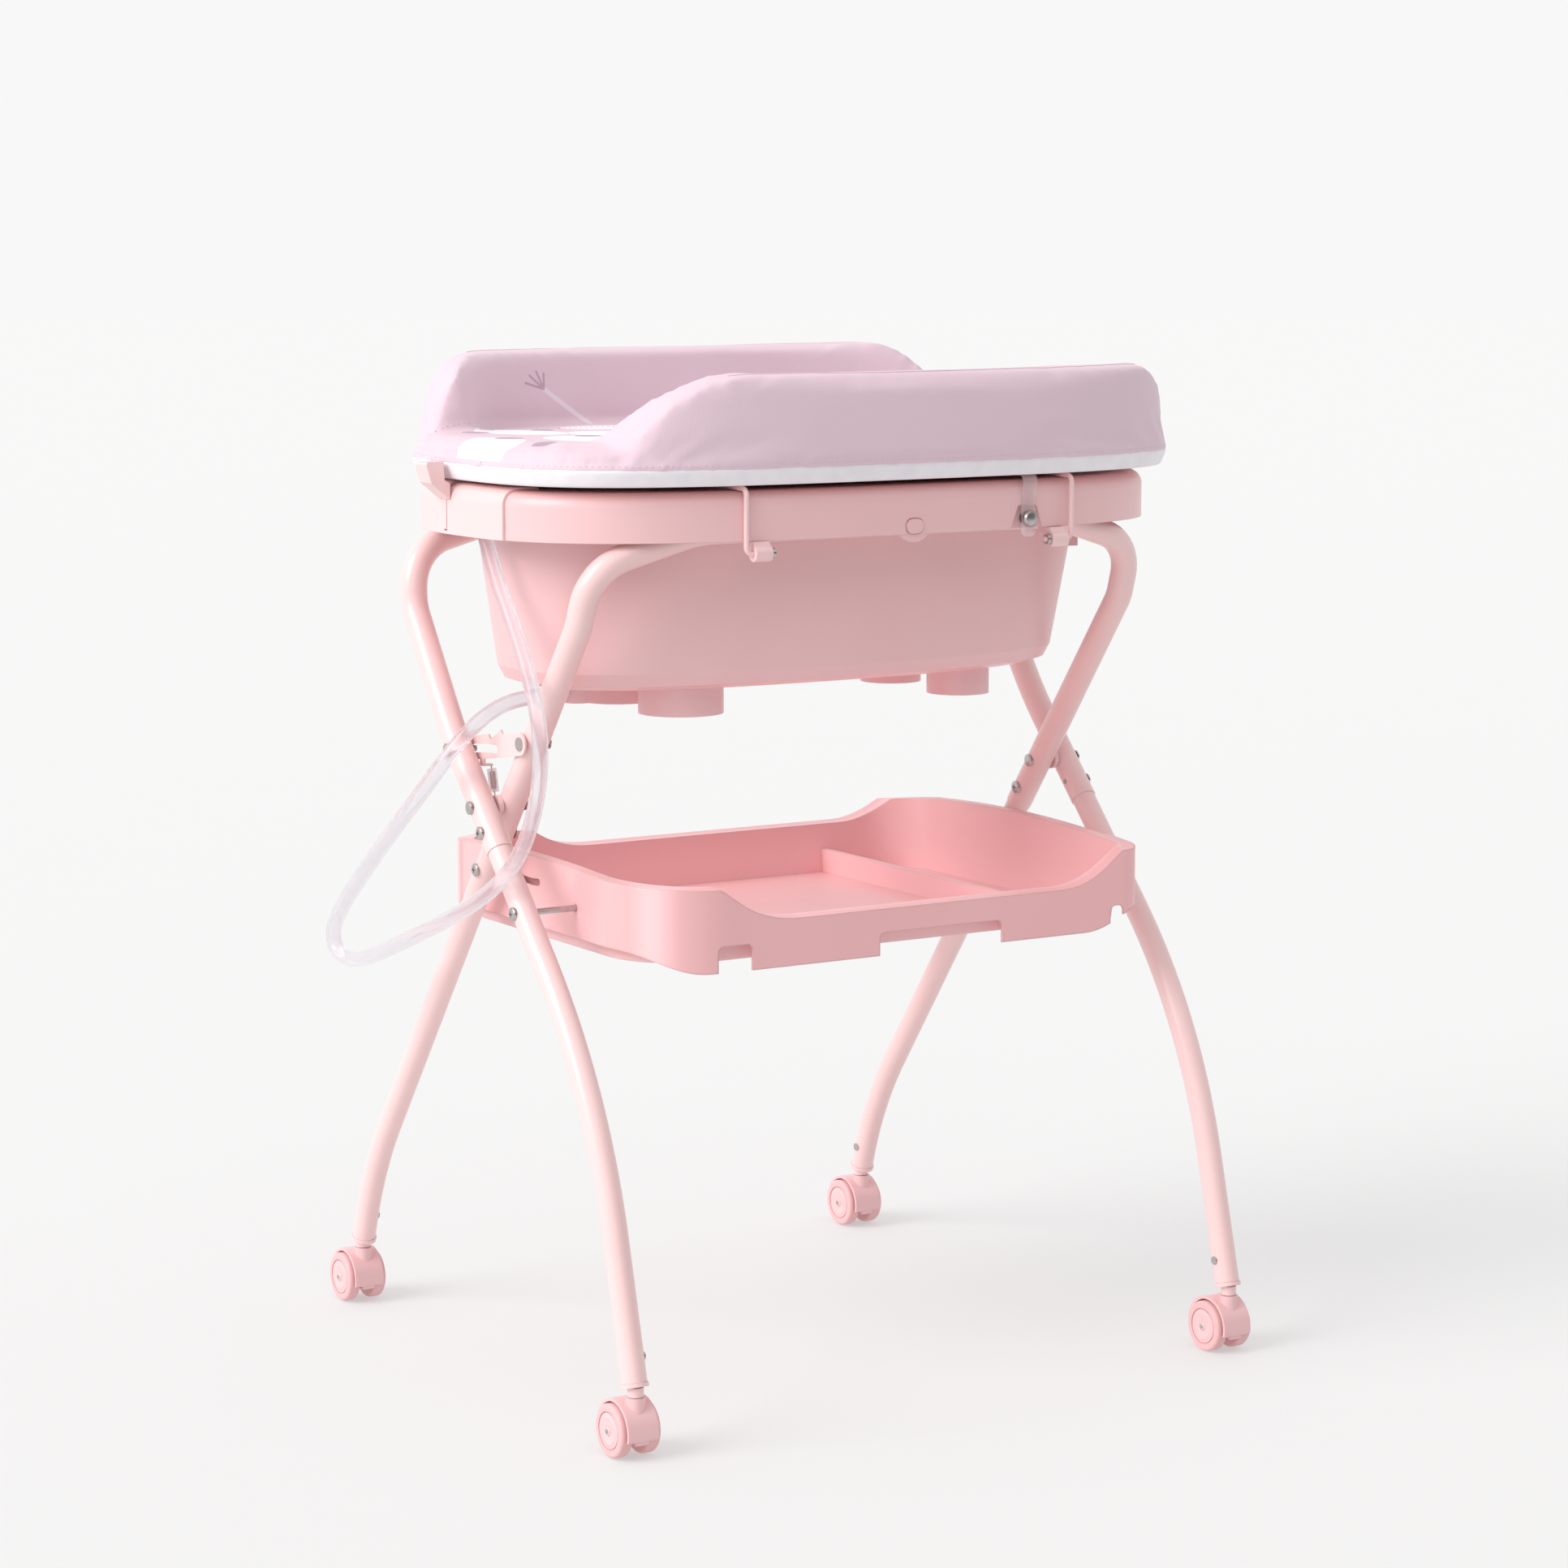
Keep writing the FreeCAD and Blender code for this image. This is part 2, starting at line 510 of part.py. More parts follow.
STEPS = 8
stay_track = [pin_in_stay(FOLD_MAX * i / STEPS) for i in range(STEPS + 1)]
stay_reach = math.dist(stay_rivet_spot, stay_pin_spot) + 14
stay_tilt = math.degrees(math.atan2(stay_pin_spot[1] - stay_rivet_spot[1], stay_pin_spot[0] - stay_rivet_spot[0]))
H = STAY_HALF_HEIGHT
ry, rz = stay_rivet_spot
plate = outline([(ry, rz - H), (ry + stay_reach, rz - H), (ry + stay_reach, rz + H + 1), (ry + 62, rz + H + 1),
                 (ry + 58, rz + H - 4), (ry + 44, rz + H), (ry + 36, rz + H + 4), (ry + 33, rz + H),
                 (ry, rz + H)], STAY_X0, STAY_THICK)
plate = plate.fuse(rod(2 * H, V(STAY_X0, ry, rz), V(STAY_X1, ry, rz)))
plate.rotate(V(0, ry, rz), X_AXIS, stay_tilt)
TAB_Y, TAB_Z = ry + 76.0, rz - 24.0
tab = box(STAY_X0, STAY_X1, TAB_Y - 4, TAB_Y + 4, TAB_Z - 5, TAB_Z + 10)
shelf = box(STAY_X0, STAY_X1 + 8, TAB_Y - 4, TAB_Y + 4, TAB_Z - 5, TAB_Z - 3.4)
plate = fused([plate, tab, shelf])
plate = plate.cut(slot_along(stay_track, STAY_PIN_D + 2.4, STAY_X0 - 1, STAY_X1 + 1))
plate = plate.cut(hole(stay_rivet_spot, PIVOT_D - 1 + 2 * RUNNING, STAY_X0 - 1, STAY_X1 + 1))
SPRING_X = STAY_X1 + 8.0
spring_top = V(SPRING_X, TAB_Y, TAB_Z - 5.4)
spring_low = V(SPRING_X, TAB_Y - 7, TAB_Z - 33)
spring_way = (spring_low - spring_top).normalize()
catch_spring = fused([rod(1.4, spring_top, spring_low), rod(6, spring_top + spring_way * 6, spring_low - spring_way * 6)])
spring_sleeve = ring(9.5, 6.6, spring_top + spring_way * 3, spring_low - spring_way * 3)
save("stay_link", plate)
save("catch_spring", catch_spring)
save("spring_sleeve", spring_sleeve)

# ---------------------------------------------------------------- bath
rim = prism(rim_oval(SKIRT_BOTTOM), RIM_TOP - SKIRT_BOTTOM)
rim = rim.makeFillet(RIM_ROUND, [e for e in rim.Edges if e.BoundBox.ZMin > RIM_TOP - 1])
channel = prism(rim_oval(SKIRT_BOTTOM - 1, SHELL), RIM_TOP - SHELL - SKIRT_BOTTOM + 1)
channel = channel.makeFillet(RIM_ROUND - SHELL, [e for e in channel.Edges if e.BoundBox.ZMin > RIM_TOP - SHELL - 1])


def bath_form(inset, floor, top):
    """Bath body between two levels, smaller all round by an inset."""
    lean = BATH_REAR_LEAN
    wires = [oval(BATH_FLOOR_X, BATH_FLOOR_Y, BATH_BOTTOM + floor, BATH_LOW_SHIFT, BATH_Y - lean, inset),
             oval(BATH_LOW_X - 6, BATH_LOW_Y - 6, BATH_BOTTOM + floor + 5, BATH_LOW_SHIFT, BATH_Y - lean, inset),
             oval(BATH_LOW_X, BATH_LOW_Y, BATH_LOW_Z + floor, BATH_LOW_SHIFT, BATH_Y - lean, inset),
             oval(BATH_TOP_X, BATH_TOP_Y, top, BATH_TOP_SHIFT, BATH_Y, inset)]
    return Part.makeLoft(wires[:3], True, True).fuse(Part.makeLoft(wires[2:], True, True)).removeSplitter()


body = bath_form(0, 0, RIM_TOP - SHELL)
cavity = bath_form(SHELL, SHELL, RIM_TOP + 2)
saddles = []
for bar_y in (FRONT_BAR_Y, REAR_BAR_Y):
    for x in (-SADDLE_X, SADDLE_X):
        block = box(x - SADDLE_WIDTH / 2, x + SADDLE_WIDTH / 2, bar_y - 12, bar_y + 12,
                    CROSSBAR_Z, RIM_TOP - SHELL / 2)
        saddles.append(block.cut(rod(HOOP_OD + 2 * SEAT, V(x - 40, bar_y, CROSSBAR_Z), V(x + 40, bar_y, CROSSBAR_Z))))
feet = []
for x, radius in ((LEFT_FOOT_X, LEFT_FOOT_R), (RIGHT_FOOT_X, RIGHT_FOOT_R)):
    for way in (-1, 1):
        spot = V(x, BATH_Y + way * FOOT_SPREAD, FOOT_BOTTOM)
        foot = Part.makeCylinder(radius, BATH_BOTTOM + 1.5 - FOOT_BOTTOM, spot, Z_AXIS)
        feet.append(foot.cut(Part.makeCylinder(radius - SHELL, BATH_BOTTOM - FOOT_BOTTOM - 3, spot, Z_AXIS)))


def skirt_y(x):
    """Front face of the skirt at a place along X."""
    share = (abs(x - RIM_SHIFT) / RIM_HALF_X) ** RIM_POWER
    return BATH_Y - RIM_HALF_Y * (1 - share) ** (1 / RIM_POWER)


# bulge under the lock button, notch and recessed plate at the strap stud
bulge = Part.makeCylinder(22, SHELL, V(BUTTON_X, skirt_y(0) + SHELL + 0.3, BUTTON_Z + 6.5), V(0, -1, 0))
bulge = bulge.common(box(BUTTON_X - 30, BUTTON_X + 30, -300, 0, 800, BUTTON_Z))
bulge = bulge.cut(prism(rim_oval(SKIRT_BOTTOM), 30))
button_hole = box(BUTTON_X - BUTTON_LONG / 2 - 0.6, BUTTON_X + BUTTON_LONG / 2 + 0.6, -300, -230,
                  BUTTON_Z - BUTTON_HIGH / 2 - 0.6, BUTTON_Z + BUTTON_HIGH / 2 + 0.6)
button_hole = button_hole.makeFillet(BUTTON_HIGH / 2, [e for e in button_hole.Edges if e.BoundBox.YLength > 50])
NOTCH_TOP = SKIRT_BOTTOM + 22.0
stud_y = skirt_y(STRAP_X)
notch_corners = [V(STRAP_X - 20, stud_y - 20, SKIRT_BOTTOM - 1), V(STRAP_X - 11, stud_y - 20, NOTCH_TOP),
                 V(STRAP_X + 11, stud_y - 20, NOTCH_TOP), V(STRAP_X + 20, stud_y - 20, SKIRT_BOTTOM - 1)]
notch = Part.Face(Part.makePolygon(notch_corners + notch_corners[:1])).extrude(V(0, 30, 0))
PLATE_BACK = 7.0
stud_plate = box(STRAP_X - 24, STRAP_X + 24, stud_y + PLATE_BACK - 2.5, stud_y + PLATE_BACK, SKIRT_BOTTOM, RIM_TOP - RIM_ROUND - 2.5)
stud_sides = [box(STRAP_X + x - 1.5, STRAP_X + x + 1.5, stud_y - 6, stud_y + PLATE_BACK, SKIRT_BOTTOM, RIM_TOP - RIM_ROUND - 2.5)
              for x in (-24, 24)]
inside_rim = prism(rim_oval(SKIRT_BOTTOM, 1), RIM_TOP - 1 - SKIRT_BOTTOM)
stud_mount = fused([stud_plate] + stud_sides).common(inside_rim)

bath = rim.cut(channel)
bath = bath.cut(notch)
bath = bath.fuse([body] + saddles + feet + [bulge, stud_mount]).cut(cavity)
bath = bath.cut(button_hole)
bath = bath.cut(Part.makeCylinder(DRAIN_HOLE_D / 2, 20, V(DRAIN_X, DRAIN_Y, BATH_BOTTOM - 5), Z_AXIS))
end_tab = box(300, 314, -92, -78, 786, RIM_TOP - 1).cut(body)
bath = bath.fuse(end_tab.common(box(290, 330, -100, -70, 780, RIM_TOP - SHELL / 2)))
print("bath solids", len(bath.Solids), "valid", bath.isValid())
save("bath_tub", *bath.Solids)

# end cover that wraps the left end of the rim, with the latch slot in its middle
cover = prism(rim_oval(SKIRT_BOTTOM, -COVER_THICK), RIM_TOP + COVER_THICK - SKIRT_BOTTOM)
cover = cover.makeFillet(RIM_ROUND + COVER_THICK, [e for e in cover.Edges if e.BoundBox.ZMin > RIM_TOP])
under_cover = prism(rim_oval(SKIRT_BOTTOM - 1, -SNUG), RIM_TOP + SNUG - SKIRT_BOTTOM + 1)
under_cover = under_cover.makeFillet(RIM_ROUND, [e for e in under_cover.Edges if e.BoundBox.ZMin > RIM_TOP - 1])
cover = cover.cut(under_cover).common(box(-400, RIM_SHIFT - RIM_HALF_X + COVER_REACH, COVER_Y - COVER_HALF,
                                          COVER_Y + COVER_HALF, 800, 900))
cover = cover.cut(box(-400, RIM_SHIFT - RIM_HALF_X + COVER_REACH + 5, COVER_Y - LATCH_SLOT / 2, COVER_Y + LATCH_SLOT / 2,
                      SKIRT_BOTTOM + 3, 900))
save("end_cover", cover)

# latch: a springy strip in the cover's slot with a flared head outside the top's edge
LATCH_HEAD = 24.0
LATCH_TOP = 889.0
PAD_LEFT = PAD_SHIFT - PAD_HALF_X
LATCH_OUT = -(PAD_HALF_X + PAD_SHIFT)  # level with the top's right end
strip_x = RIM_SHIFT - RIM_HALF_X - SEAT
strip = box(strip_x - 2.6, strip_x, COVER_Y - LATCH_SLOT / 2 + 0.6, COVER_Y + LATCH_SLOT / 2 - 0.6,
            SKIRT_BOTTOM + 4.5, RIM_TOP)
head_points = [(strip_x - 2.6, 853), (LATCH_OUT + 5, 869), (LATCH_OUT, LATCH_TOP - 3), (LATCH_OUT + 1, LATCH_TOP),
               (PAD_LEFT - 4.5, LATCH_TOP), (PAD_LEFT - 3.2, 871.5), (strip_x, 866.5), (strip_x, 853)]
corners = [V(x, COVER_Y - LATCH_HEAD / 2, z) for x, z in head_points]
head = Part.Face(Part.makePolygon(corners + corners[:1])).extrude(V(0, LATCH_HEAD, 0))
cover_zone = prism(rim_oval(SKIRT_BOTTOM, -COVER_THICK - SEAT),
                   RIM_TOP + COVER_THICK + SEAT - SKIRT_BOTTOM)
latch = strip.fuse(head.cut(cover_zone)).fuse(
    head.common(box(-400, 0, COVER_Y - LATCH_SLOT / 2 + 0.6, COVER_Y + LATCH_SLOT / 2 - 0.6, 800, 900)))
latch = latch.removeSplitter()
save("end_latch", *latch.Solids)

# drain: flanged elbow under the floor, with a plug in the hole
valve = fused([Part.makeCylinder(DRAIN_FLANGE_D / 2, 4, V(DRAIN_X, DRAIN_Y, BATH_BOTTOM - 4 - SNUG), Z_AXIS),
               Part.makeCylinder(14, DRAIN_DEPTH - 2, V(DRAIN_X, DRAIN_Y, BATH_BOTTOM - DRAIN_DEPTH), Z_AXIS),
               rod(SPOUT_D + 5, V(DRAIN_X, DRAIN_Y, SPOUT_Z), V(DRAIN_X - 22, DRAIN_Y, SPOUT_Z))])
valve = valve.cut(Part.makeCylinder(11, DRAIN_DEPTH, V(DRAIN_X, DRAIN_Y, BATH_BOTTOM - DRAIN_DEPTH + 3), Z_AXIS))
valve = valve.cut(rod(SPOUT_D - 3, V(DRAIN_X, DRAIN_Y, SPOUT_Z), V(DRAIN_X - 60, DRAIN_Y, SPOUT_Z)))
save("drain_valve", valve)
FLOOR_TOP = BATH_BOTTOM + SHELL
drain_plug = fused([Part.makeCylinder(19, 3, V(DRAIN_X, DRAIN_Y, FLOOR_TOP + SEAT), Z_AXIS),
                    Part.makeCylinder(DRAIN_HOLE_D / 2 - 1.4, 6, V(DRAIN_X, DRAIN_Y, FLOOR_TOP - 4), Z_AXIS),
                    ring(14, 9, V(DRAIN_X - 1.5, DRAIN_Y, FLOOR_TOP + 9.5), V(DRAIN_X + 1.5, DRAIN_Y, FLOOR_TOP + 9.5))])
save("drain_plug", drain_plug)

# hinge lugs under the skirt, with the bolts that carry the wire ends
BARREL_LEFT, BARREL_RIGHT = WIRE_LEFT_X + 7.0, WIRE_RIGHT_X - 7.0 - BARREL_LENGTH


def hinge_lug(x0):
    x1 = x0 + BARREL_LENGTH
    reach = max(skirt_y(x0), skirt_y(x1)) + 14
    web = outline([(HINGE_Y - BARREL_D / 2 + 2.2, HINGE_Z + 4), (HINGE_Y + 1, HINGE_Z - BARREL_D / 2),
                   (reach, SKIRT_BOTTOM - 0.2), (HINGE_Y + 1, SKIRT_BOTTOM - 0.2)], x0, BARREL_LENGTH)
    barrel = rod(BARREL_D, V(x0, HINGE_Y, HINGE_Z), V(x1, HINGE_Y, HINGE_Z))
    post = outline([(skirt_y(x0 + BARREL_LENGTH / 2) + SHELL + 2.2, SKIRT_BOTTOM - 6),
                    (reach, SKIRT_BOTTOM - 6), (reach, RIM_TOP - SHELL - 10),
                    (skirt_y(x0 + BARREL_LENGTH / 2) + SHELL + 2.2, RIM_TOP - SHELL - 10)], x0, BARREL_LENGTH)
    lug = fused([web, barrel, post])
    keep_out = prism(rim_oval(SKIRT_BOTTOM - 0.1, 0), 60).cut(
        prism(rim_oval(SKIRT_BOTTOM - 1, SHELL + SNUG), 70))
    lug = lug.cut(keep_out)
    return lug.cut(rod(WIRE_D + 2 * RUNNING, V(x0 - 1, HINGE_Y, HINGE_Z), V(x1 + 1, HINGE_Y, HINGE_Z)))


save("hinge_lugs", *(hinge_lug(BARREL_LEFT).Solids + hinge_lug(BARREL_RIGHT).Solids))

# lock button in the skirt
button = box(BUTTON_X - BUTTON_LONG / 2, BUTTON_X + BUTTON_LONG / 2, skirt_y(0) - 1.6, skirt_y(0) + 9,
             BUTTON_Z - BUTTON_HIGH / 2, BUTTON_Z + BUTTON_HIGH / 2)
button = button.makeFillet(BUTTON_HIGH / 2 - 0.01, [e for e in button.Edges if e.BoundBox.YLength > 9])
save("lock_button", button)

# stud on the recessed plate, strap and cap
PLATE_FACE = stud_y + PLATE_BACK - 2.5
STRAP_FRONT = stud_y - 3.0
stud = fused([rod(STUD_D, V(STRAP_X, PLATE_FACE - SNUG, STUD_Z), V(STRAP_X, PLATE_FACE - 1.6, STUD_Z)),
              rod(STUD_D - 6, V(STRAP_X, PLATE_FACE - 1, STUD_Z), V(STRAP_X, STRAP_FRONT + STRAP_THICK + SEAT, STUD_Z))])
save("snap_stud", stud)

# ---------------------------------------------------------------- changing top
board = prism(pad_oval(BOARD_BOTTOM, BOARD_INSET), BOARD_THICK)
band_low = BOARD_BOTTOM + 0.3
band = prism(pad_oval(band_low), BAND_TOP - band_low)
band = band.cut(prism(pad_oval(band_low - 1, BAND_THICK), 30))
bed_low = BOARD_BOTTOM + BOARD_THICK + SEAT
bed = prism(pad_oval(bed_low, BAND_THICK + SEAT), BAND_TOP - bed_low + 0.3)
bed = bed.fuse(loft([pad_oval(BAND_TOP + 0.3),
                     pad_oval(BED_TOP, 2)])).removeSplitter()
save("pad_board", board)
save("edge_binding", band)
save("pad_bed", bed)

# side walls: cut from a ring that follows the edge, sloping down at both ends
wall_low = BED_TOP + SEAT


def side_wall(top, left_foot, left_top, right_top, right_foot, way):
    """One raised wall; way is -1 for the front and +1 for the rear."""
    ring_form = loft([pad_oval(wall_low, 2), pad_oval(top + 1, 2 + WALL_LEAN)]).cut(
        loft([pad_oval(wall_low - 1, WALL_THICK), pad_oval(top + 2, WALL_TOP_THICK + WALL_LEAN)]))
    left, right = Part.BezierCurve(), Part.BezierCurve()
    left.setPoles([V(left_foot, -400, wall_low), V(left_foot + 28, -400, wall_low + 30),
                   V(left_top - 42, -400, top), V(left_top + 25, -400, top)])
    right.setPoles([V(right_top, -400, top), V(right_top + 35, -400, top),
                    V(right_foot - 4, -400, top - 32), V(right_foot, -400, wall_low)])
    crest = Part.LineSegment(V(left_top + 25, -400, top), V(right_top, -400, top))
    base = Part.LineSegment(V(right_foot, -400, wall_low), V(left_foot, -400, wall_low))
    profile = Part.Face(Part.Wire([left.toShape(), crest.toShape(), right.toShape(), base.toShape()]))
    near, away = sorted((BATH_Y + way * WALL_END_FROM_MIDDLE, BATH_Y + way * 300))
    return ring_form.common(profile.extrude(V(0, 800, 0))).common(box(-500, 500, near, away, 900, 1000))


save("pad_front_wall", side_wall(FRONT_WALL_TOP, -285, -185, 285, 352, -1))
save("pad_back_wall", side_wall(REAR_WALL_TOP, -338, -268, 208, 286, 1))

# hinge wire: both ends turn into the barrels, the loop runs under the board
WIRE_Z = BOARD_BOTTOM - WIRE_D / 2 - SEAT
wire_path = rounded_path([V(BARREL_LEFT + BARREL_LENGTH + 6, HINGE_Y, HINGE_Z), V(WIRE_LEFT_X, HINGE_Y, HINGE_Z),
                          V(WIRE_LEFT_X, HINGE_Y, WIRE_Z), V(WIRE_LEFT_X, HINGE_Y + WIRE_REACH, WIRE_Z),
                          V(WIRE_RIGHT_X, HINGE_Y + WIRE_REACH, WIRE_Z), V(WIRE_RIGHT_X, HINGE_Y, WIRE_Z),
                          V(WIRE_RIGHT_X, HINGE_Y, HINGE_Z), V(BARREL_RIGHT - 6, HINGE_Y, HINGE_Z)],
                         [6.5, 7.0, 12.0, 12.0, 7.0, 6.5])
hinge_wire = swept(wire_path, WIRE_D)
save("hinge_wire", hinge_wire)
nuts = []
for x in (BARREL_LEFT + BARREL_LENGTH + SEAT + 0.2, BARREL_RIGHT - SEAT - 4.2):
    nuts.append(ring(10, WIRE_D + 2 * SNUG, V(x, HINGE_Y, HINGE_Z), V(x + 4, HINGE_Y, HINGE_Z)))
save("hinge_nuts", *nuts)

strap_half = STRAP_WIDTH / 2
drop = box(STRAP_X - strap_half, STRAP_X + strap_half, STRAP_FRONT, STRAP_FRONT + STRAP_THICK, 813, BOARD_BOTTOM - 1.2)
fold_over = box(STRAP_X - strap_half, STRAP_X + strap_half, STRAP_FRONT, STRAP_FRONT + 34, BOARD_BOTTOM - 1.2,
                BOARD_BOTTOM - 0.2)
strap = drop.fuse(fold_over).removeSplitter()
strap = strap.cut(rod(7, V(STRAP_X, STRAP_FRONT - 5, STUD_Z), V(STRAP_X, STRAP_FRONT + 5, STUD_Z)))
save("pad_strap", strap)
cap = fused([rod(STUD_D + 3, V(STRAP_X, STRAP_FRONT - SNUG, STUD_Z), V(STRAP_X, STRAP_FRONT - 2.6, STUD_Z)),
             rod(7 - 2 * SNUG, V(STRAP_X, STRAP_FRONT - 1, STUD_Z), V(STRAP_X, STRAP_FRONT + STRAP_THICK, STUD_Z))])
save("snap_cap", cap)


# ---------------------------------------------------------------- tray
def rounded_plan(inset, z):
    """Tray plan outline: large corners except at the front right."""
    x0, x1 = -TRAY_HALF_X + inset, TRAY_HALF_X - inset
    y0, y1 = TRAY_FRONT + inset, TRAY_REAR - inset
    corners = [(x0, y0, 95.0), (x1, y0, 28.0), (x1, y1, 80.0), (x0, y1, 80.0)]
    ways = {0: (1, 1), 1: (-1, 1), 2: (-1, -1), 3: (1, -1)}
    ends = []
    for i, (x, y, r) in enumerate(corners):
        r = max(r - inset, 12.0)
        wx, wy = ways[i]
        along_x, along_y = V(x + wx * r, y, z), V(x, y + wy * r, z)
        k = r * (1 - math.sqrt(0.5))
        middle = V(x + wx * k, y + wy * k, z)
        ends.append((along_y, middle, along_x) if i % 2 == 0 else (along_x, middle, along_y))
    edges = []
    for i, (start, middle, end) in enumerate(ends):
        edges.append(Part.Arc(start, middle, end).toShape())
        edges.append(Part.LineSegment(end, ends[(i + 1) % 4][0]).toShape())
    return Part.Wire(edges)


def crest_form(drop):
    """Everything under the tray's wavy rim, lowered by an amount."""
    ramp_left, ramp_right = Part.BezierCurve(), Part.BezierCurve()
    y0 = TRAY_FRONT - 1
    high, low = TRAY_END_TOP - drop, TRAY_LIP - drop
    ramp_left.setPoles([V(-250, y0, high), V(-185, y0, high), V(-190, y0, low), V(-112, y0, low)])
    ramp_right.setPoles([V(185, y0, low), V(245, y0, low), V(250, y0, high), V(300, y0, high)])
    rows = [Part.LineSegment(V(-300, y0, high), V(-250, y0, high)).toShape(), ramp_left.toShape(),
            Part.LineSegment(V(-112, y0, low), V(185, y0, low)).toShape(), ramp_right.toShape(),
            Part.LineSegment(V(300, y0, high), V(300, y0, 380)).toShape(),
            Part.LineSegment(V(300, y0, 380), V(-300, y0, 380)).toShape(),
            Part.LineSegment(V(-300, y0, 380), V(-300, y0, high)).toShape()]
    under_wave = Part.Face(Part.Wire(rows)).extrude(V(0, TRAY_REAR - TRAY_FRONT + 2, TRAY_REAR_RISE))
    crown = Part.Arc(V(-300, TRAY_FRONT - 2, 499 - drop), V(-300, -38, 511 - drop), V(-300, TRAY_REAR + 2, 501 - drop))
    side = [crown.toShape(),
            Part.LineSegment(V(-300, TRAY_REAR + 2, 501 - drop), V(-300, TRAY_REAR + 2, 380)).toShape(),
            Part.LineSegment(V(-300, TRAY_REAR + 2, 380), V(-300, TRAY_FRONT - 2, 380)).toShape(),
            Part.LineSegment(V(-300, TRAY_FRONT - 2, 380), V(-300, TRAY_FRONT - 2, 499 - drop)).toShape()]
    under_crown = Part.Face(Part.Wire(side)).extrude(V(600, 0, 0))
    return under_wave.common(under_crown)




def end_recess(extra):
    """Shallow recess in both ends, where the legs pass."""
    block = box(TRAY_HALF_X - TRAY_RECESS - extra, TRAY_HALF_X + 20, TRAY_FRONT + 66 - extra, TRAY_REAR - 62 + extra,
                TRAY_BOTTOM - 5, TRAY_END_TOP + 10)
    block = block.makeFillet(TRAY_RECESS - 0.5, [e for e in block.Edges if e.BoundBox.ZLength > 50
                                                 and e.BoundBox.XMax < TRAY_HALF_X])
    return [block, mirrored(block)]


def end_rise(side):
    """What the skirt's lower edge leaves out as it climbs toward an end."""
    curve = Part.BezierCurve()
    y0 = TRAY_FRONT - 5
    curve.setPoles([V(side * 215, y0, TRAY_BOTTOM), V(side * 250, y0, TRAY_BOTTOM + 1),
                    V(side * 262, y0, TRAY_END_BOTTOM), V(side * 295, y0, TRAY_END_BOTTOM)])
    rest = Part.makePolygon([V(side * 295, y0, TRAY_END_BOTTOM), V(side * 295, y0, TRAY_BOTTOM - 5),
                             V(side * 215, y0, TRAY_BOTTOM - 5), V(side * 215, y0, TRAY_BOTTOM)])
    return Part.Face(Part.Wire([curve.toShape()] + rest.Edges)).extrude(V(0, TRAY_REAR - TRAY_FRONT + 10, 0))


tray_outer = prism(rounded_plan(0, TRAY_BOTTOM), 120).common(crest_form(0)).cut(end_recess(0))
basin = loft([rounded_plan(LIP_WIDTH + 9, TRAY_FLOOR), rounded_plan(LIP_WIDTH, TRAY_END_TOP + 10)])
basin_shell = loft([rounded_plan(LIP_WIDTH + 9 - TRAY_WALL, TRAY_FLOOR - TRAY_WALL),
                    rounded_plan(LIP_WIDTH - TRAY_WALL, TRAY_END_TOP + 10)])
underside = prism(rounded_plan(TRAY_WALL, TRAY_BOTTOM - 1), 120).common(crest_form(TRAY_WALL)).cut([basin_shell] + end_recess(TRAY_WALL))
tray = tray_outer.cut(underside).cut(basin)
divider = box(DIVIDER_X - 4, DIVIDER_X + 4, TRAY_FRONT + 6, TRAY_REAR - 6, TRAY_FLOOR - 1, DIVIDER_TOP)
tray = tray.fuse(divider.common(basin_shell)).removeSplitter()
front_face, rear_face = TRAY_FRONT - 1, TRAY_REAR - TRAY_WALL - 2
for face in (front_face, rear_face):
    for x0, x1, height in ((-203, -166, 25), (-25, 116, 22), (245, 261, 24)):
        gap = box(x0, x1, face, face + TRAY_WALL + 4, TRAY_BOTTOM - 10, TRAY_BOTTOM + height)
        gap = gap.makeFillet(6.0, [e for e in gap.Edges if e.BoundBox.YLength > 5 and e.BoundBox.ZMin > TRAY_BOTTOM])
        tray = tray.cut(gap)
for side in (-1, 1):
    tray = tray.cut(end_rise(side).cut(basin_shell))


def pin_in_tray(fold):
    """Where the rest pin stands in the tray's own resting frame."""
    tray_turn = fold * (1 + TRAY_RATIO)
    carried = turned(tray_pin_spot, PIVOT, fold)
    moved = (rest_pin_spot[0] - carried[0] + tray_pin_spot[0], rest_pin_spot[1] - carried[1] + tray_pin_spot[1])
    return turned(moved, tray_pin_spot, -tray_turn)


tray_track = [pin_in_tray(FOLD_MAX * i / STEPS) for i in range(STEPS + 1)]
print("tray track", [(round(y, 1), round(z, 1)) for y, z in tray_track])
print("stay track", [(round(y, 1), round(z, 1)) for y, z in stay_track])
for side in (-1, 1):
    x0 = -TRAY_HALF_X - 1 if side < 0 else TRAY_HALF_X - 12
    x_wall = side * (TRAY_HALF_X - TRAY_RECESS - TRAY_WALL / 2) - (0 if side < 0 else 6)
    boss = ring(13, TRAY_PIN_D + 2 * RUNNING, V(x_wall, *tray_pin_spot), V(x_wall + 6, *tray_pin_spot))
    tray = tray.fuse(boss.cut(basin_shell))
    tray = tray.cut(slot_along(tray_track, TRAY_PIN_D + 2 * SEAT, x0, x0 + 13))
    tray = tray.cut(hole(tray_pin_spot, TRAY_PIN_D + 2 * RUNNING, x0, x0 + 13))
print("tray solids", len(tray.Solids), "valid", tray.isValid())
save("storage_tray", *tray.Solids)

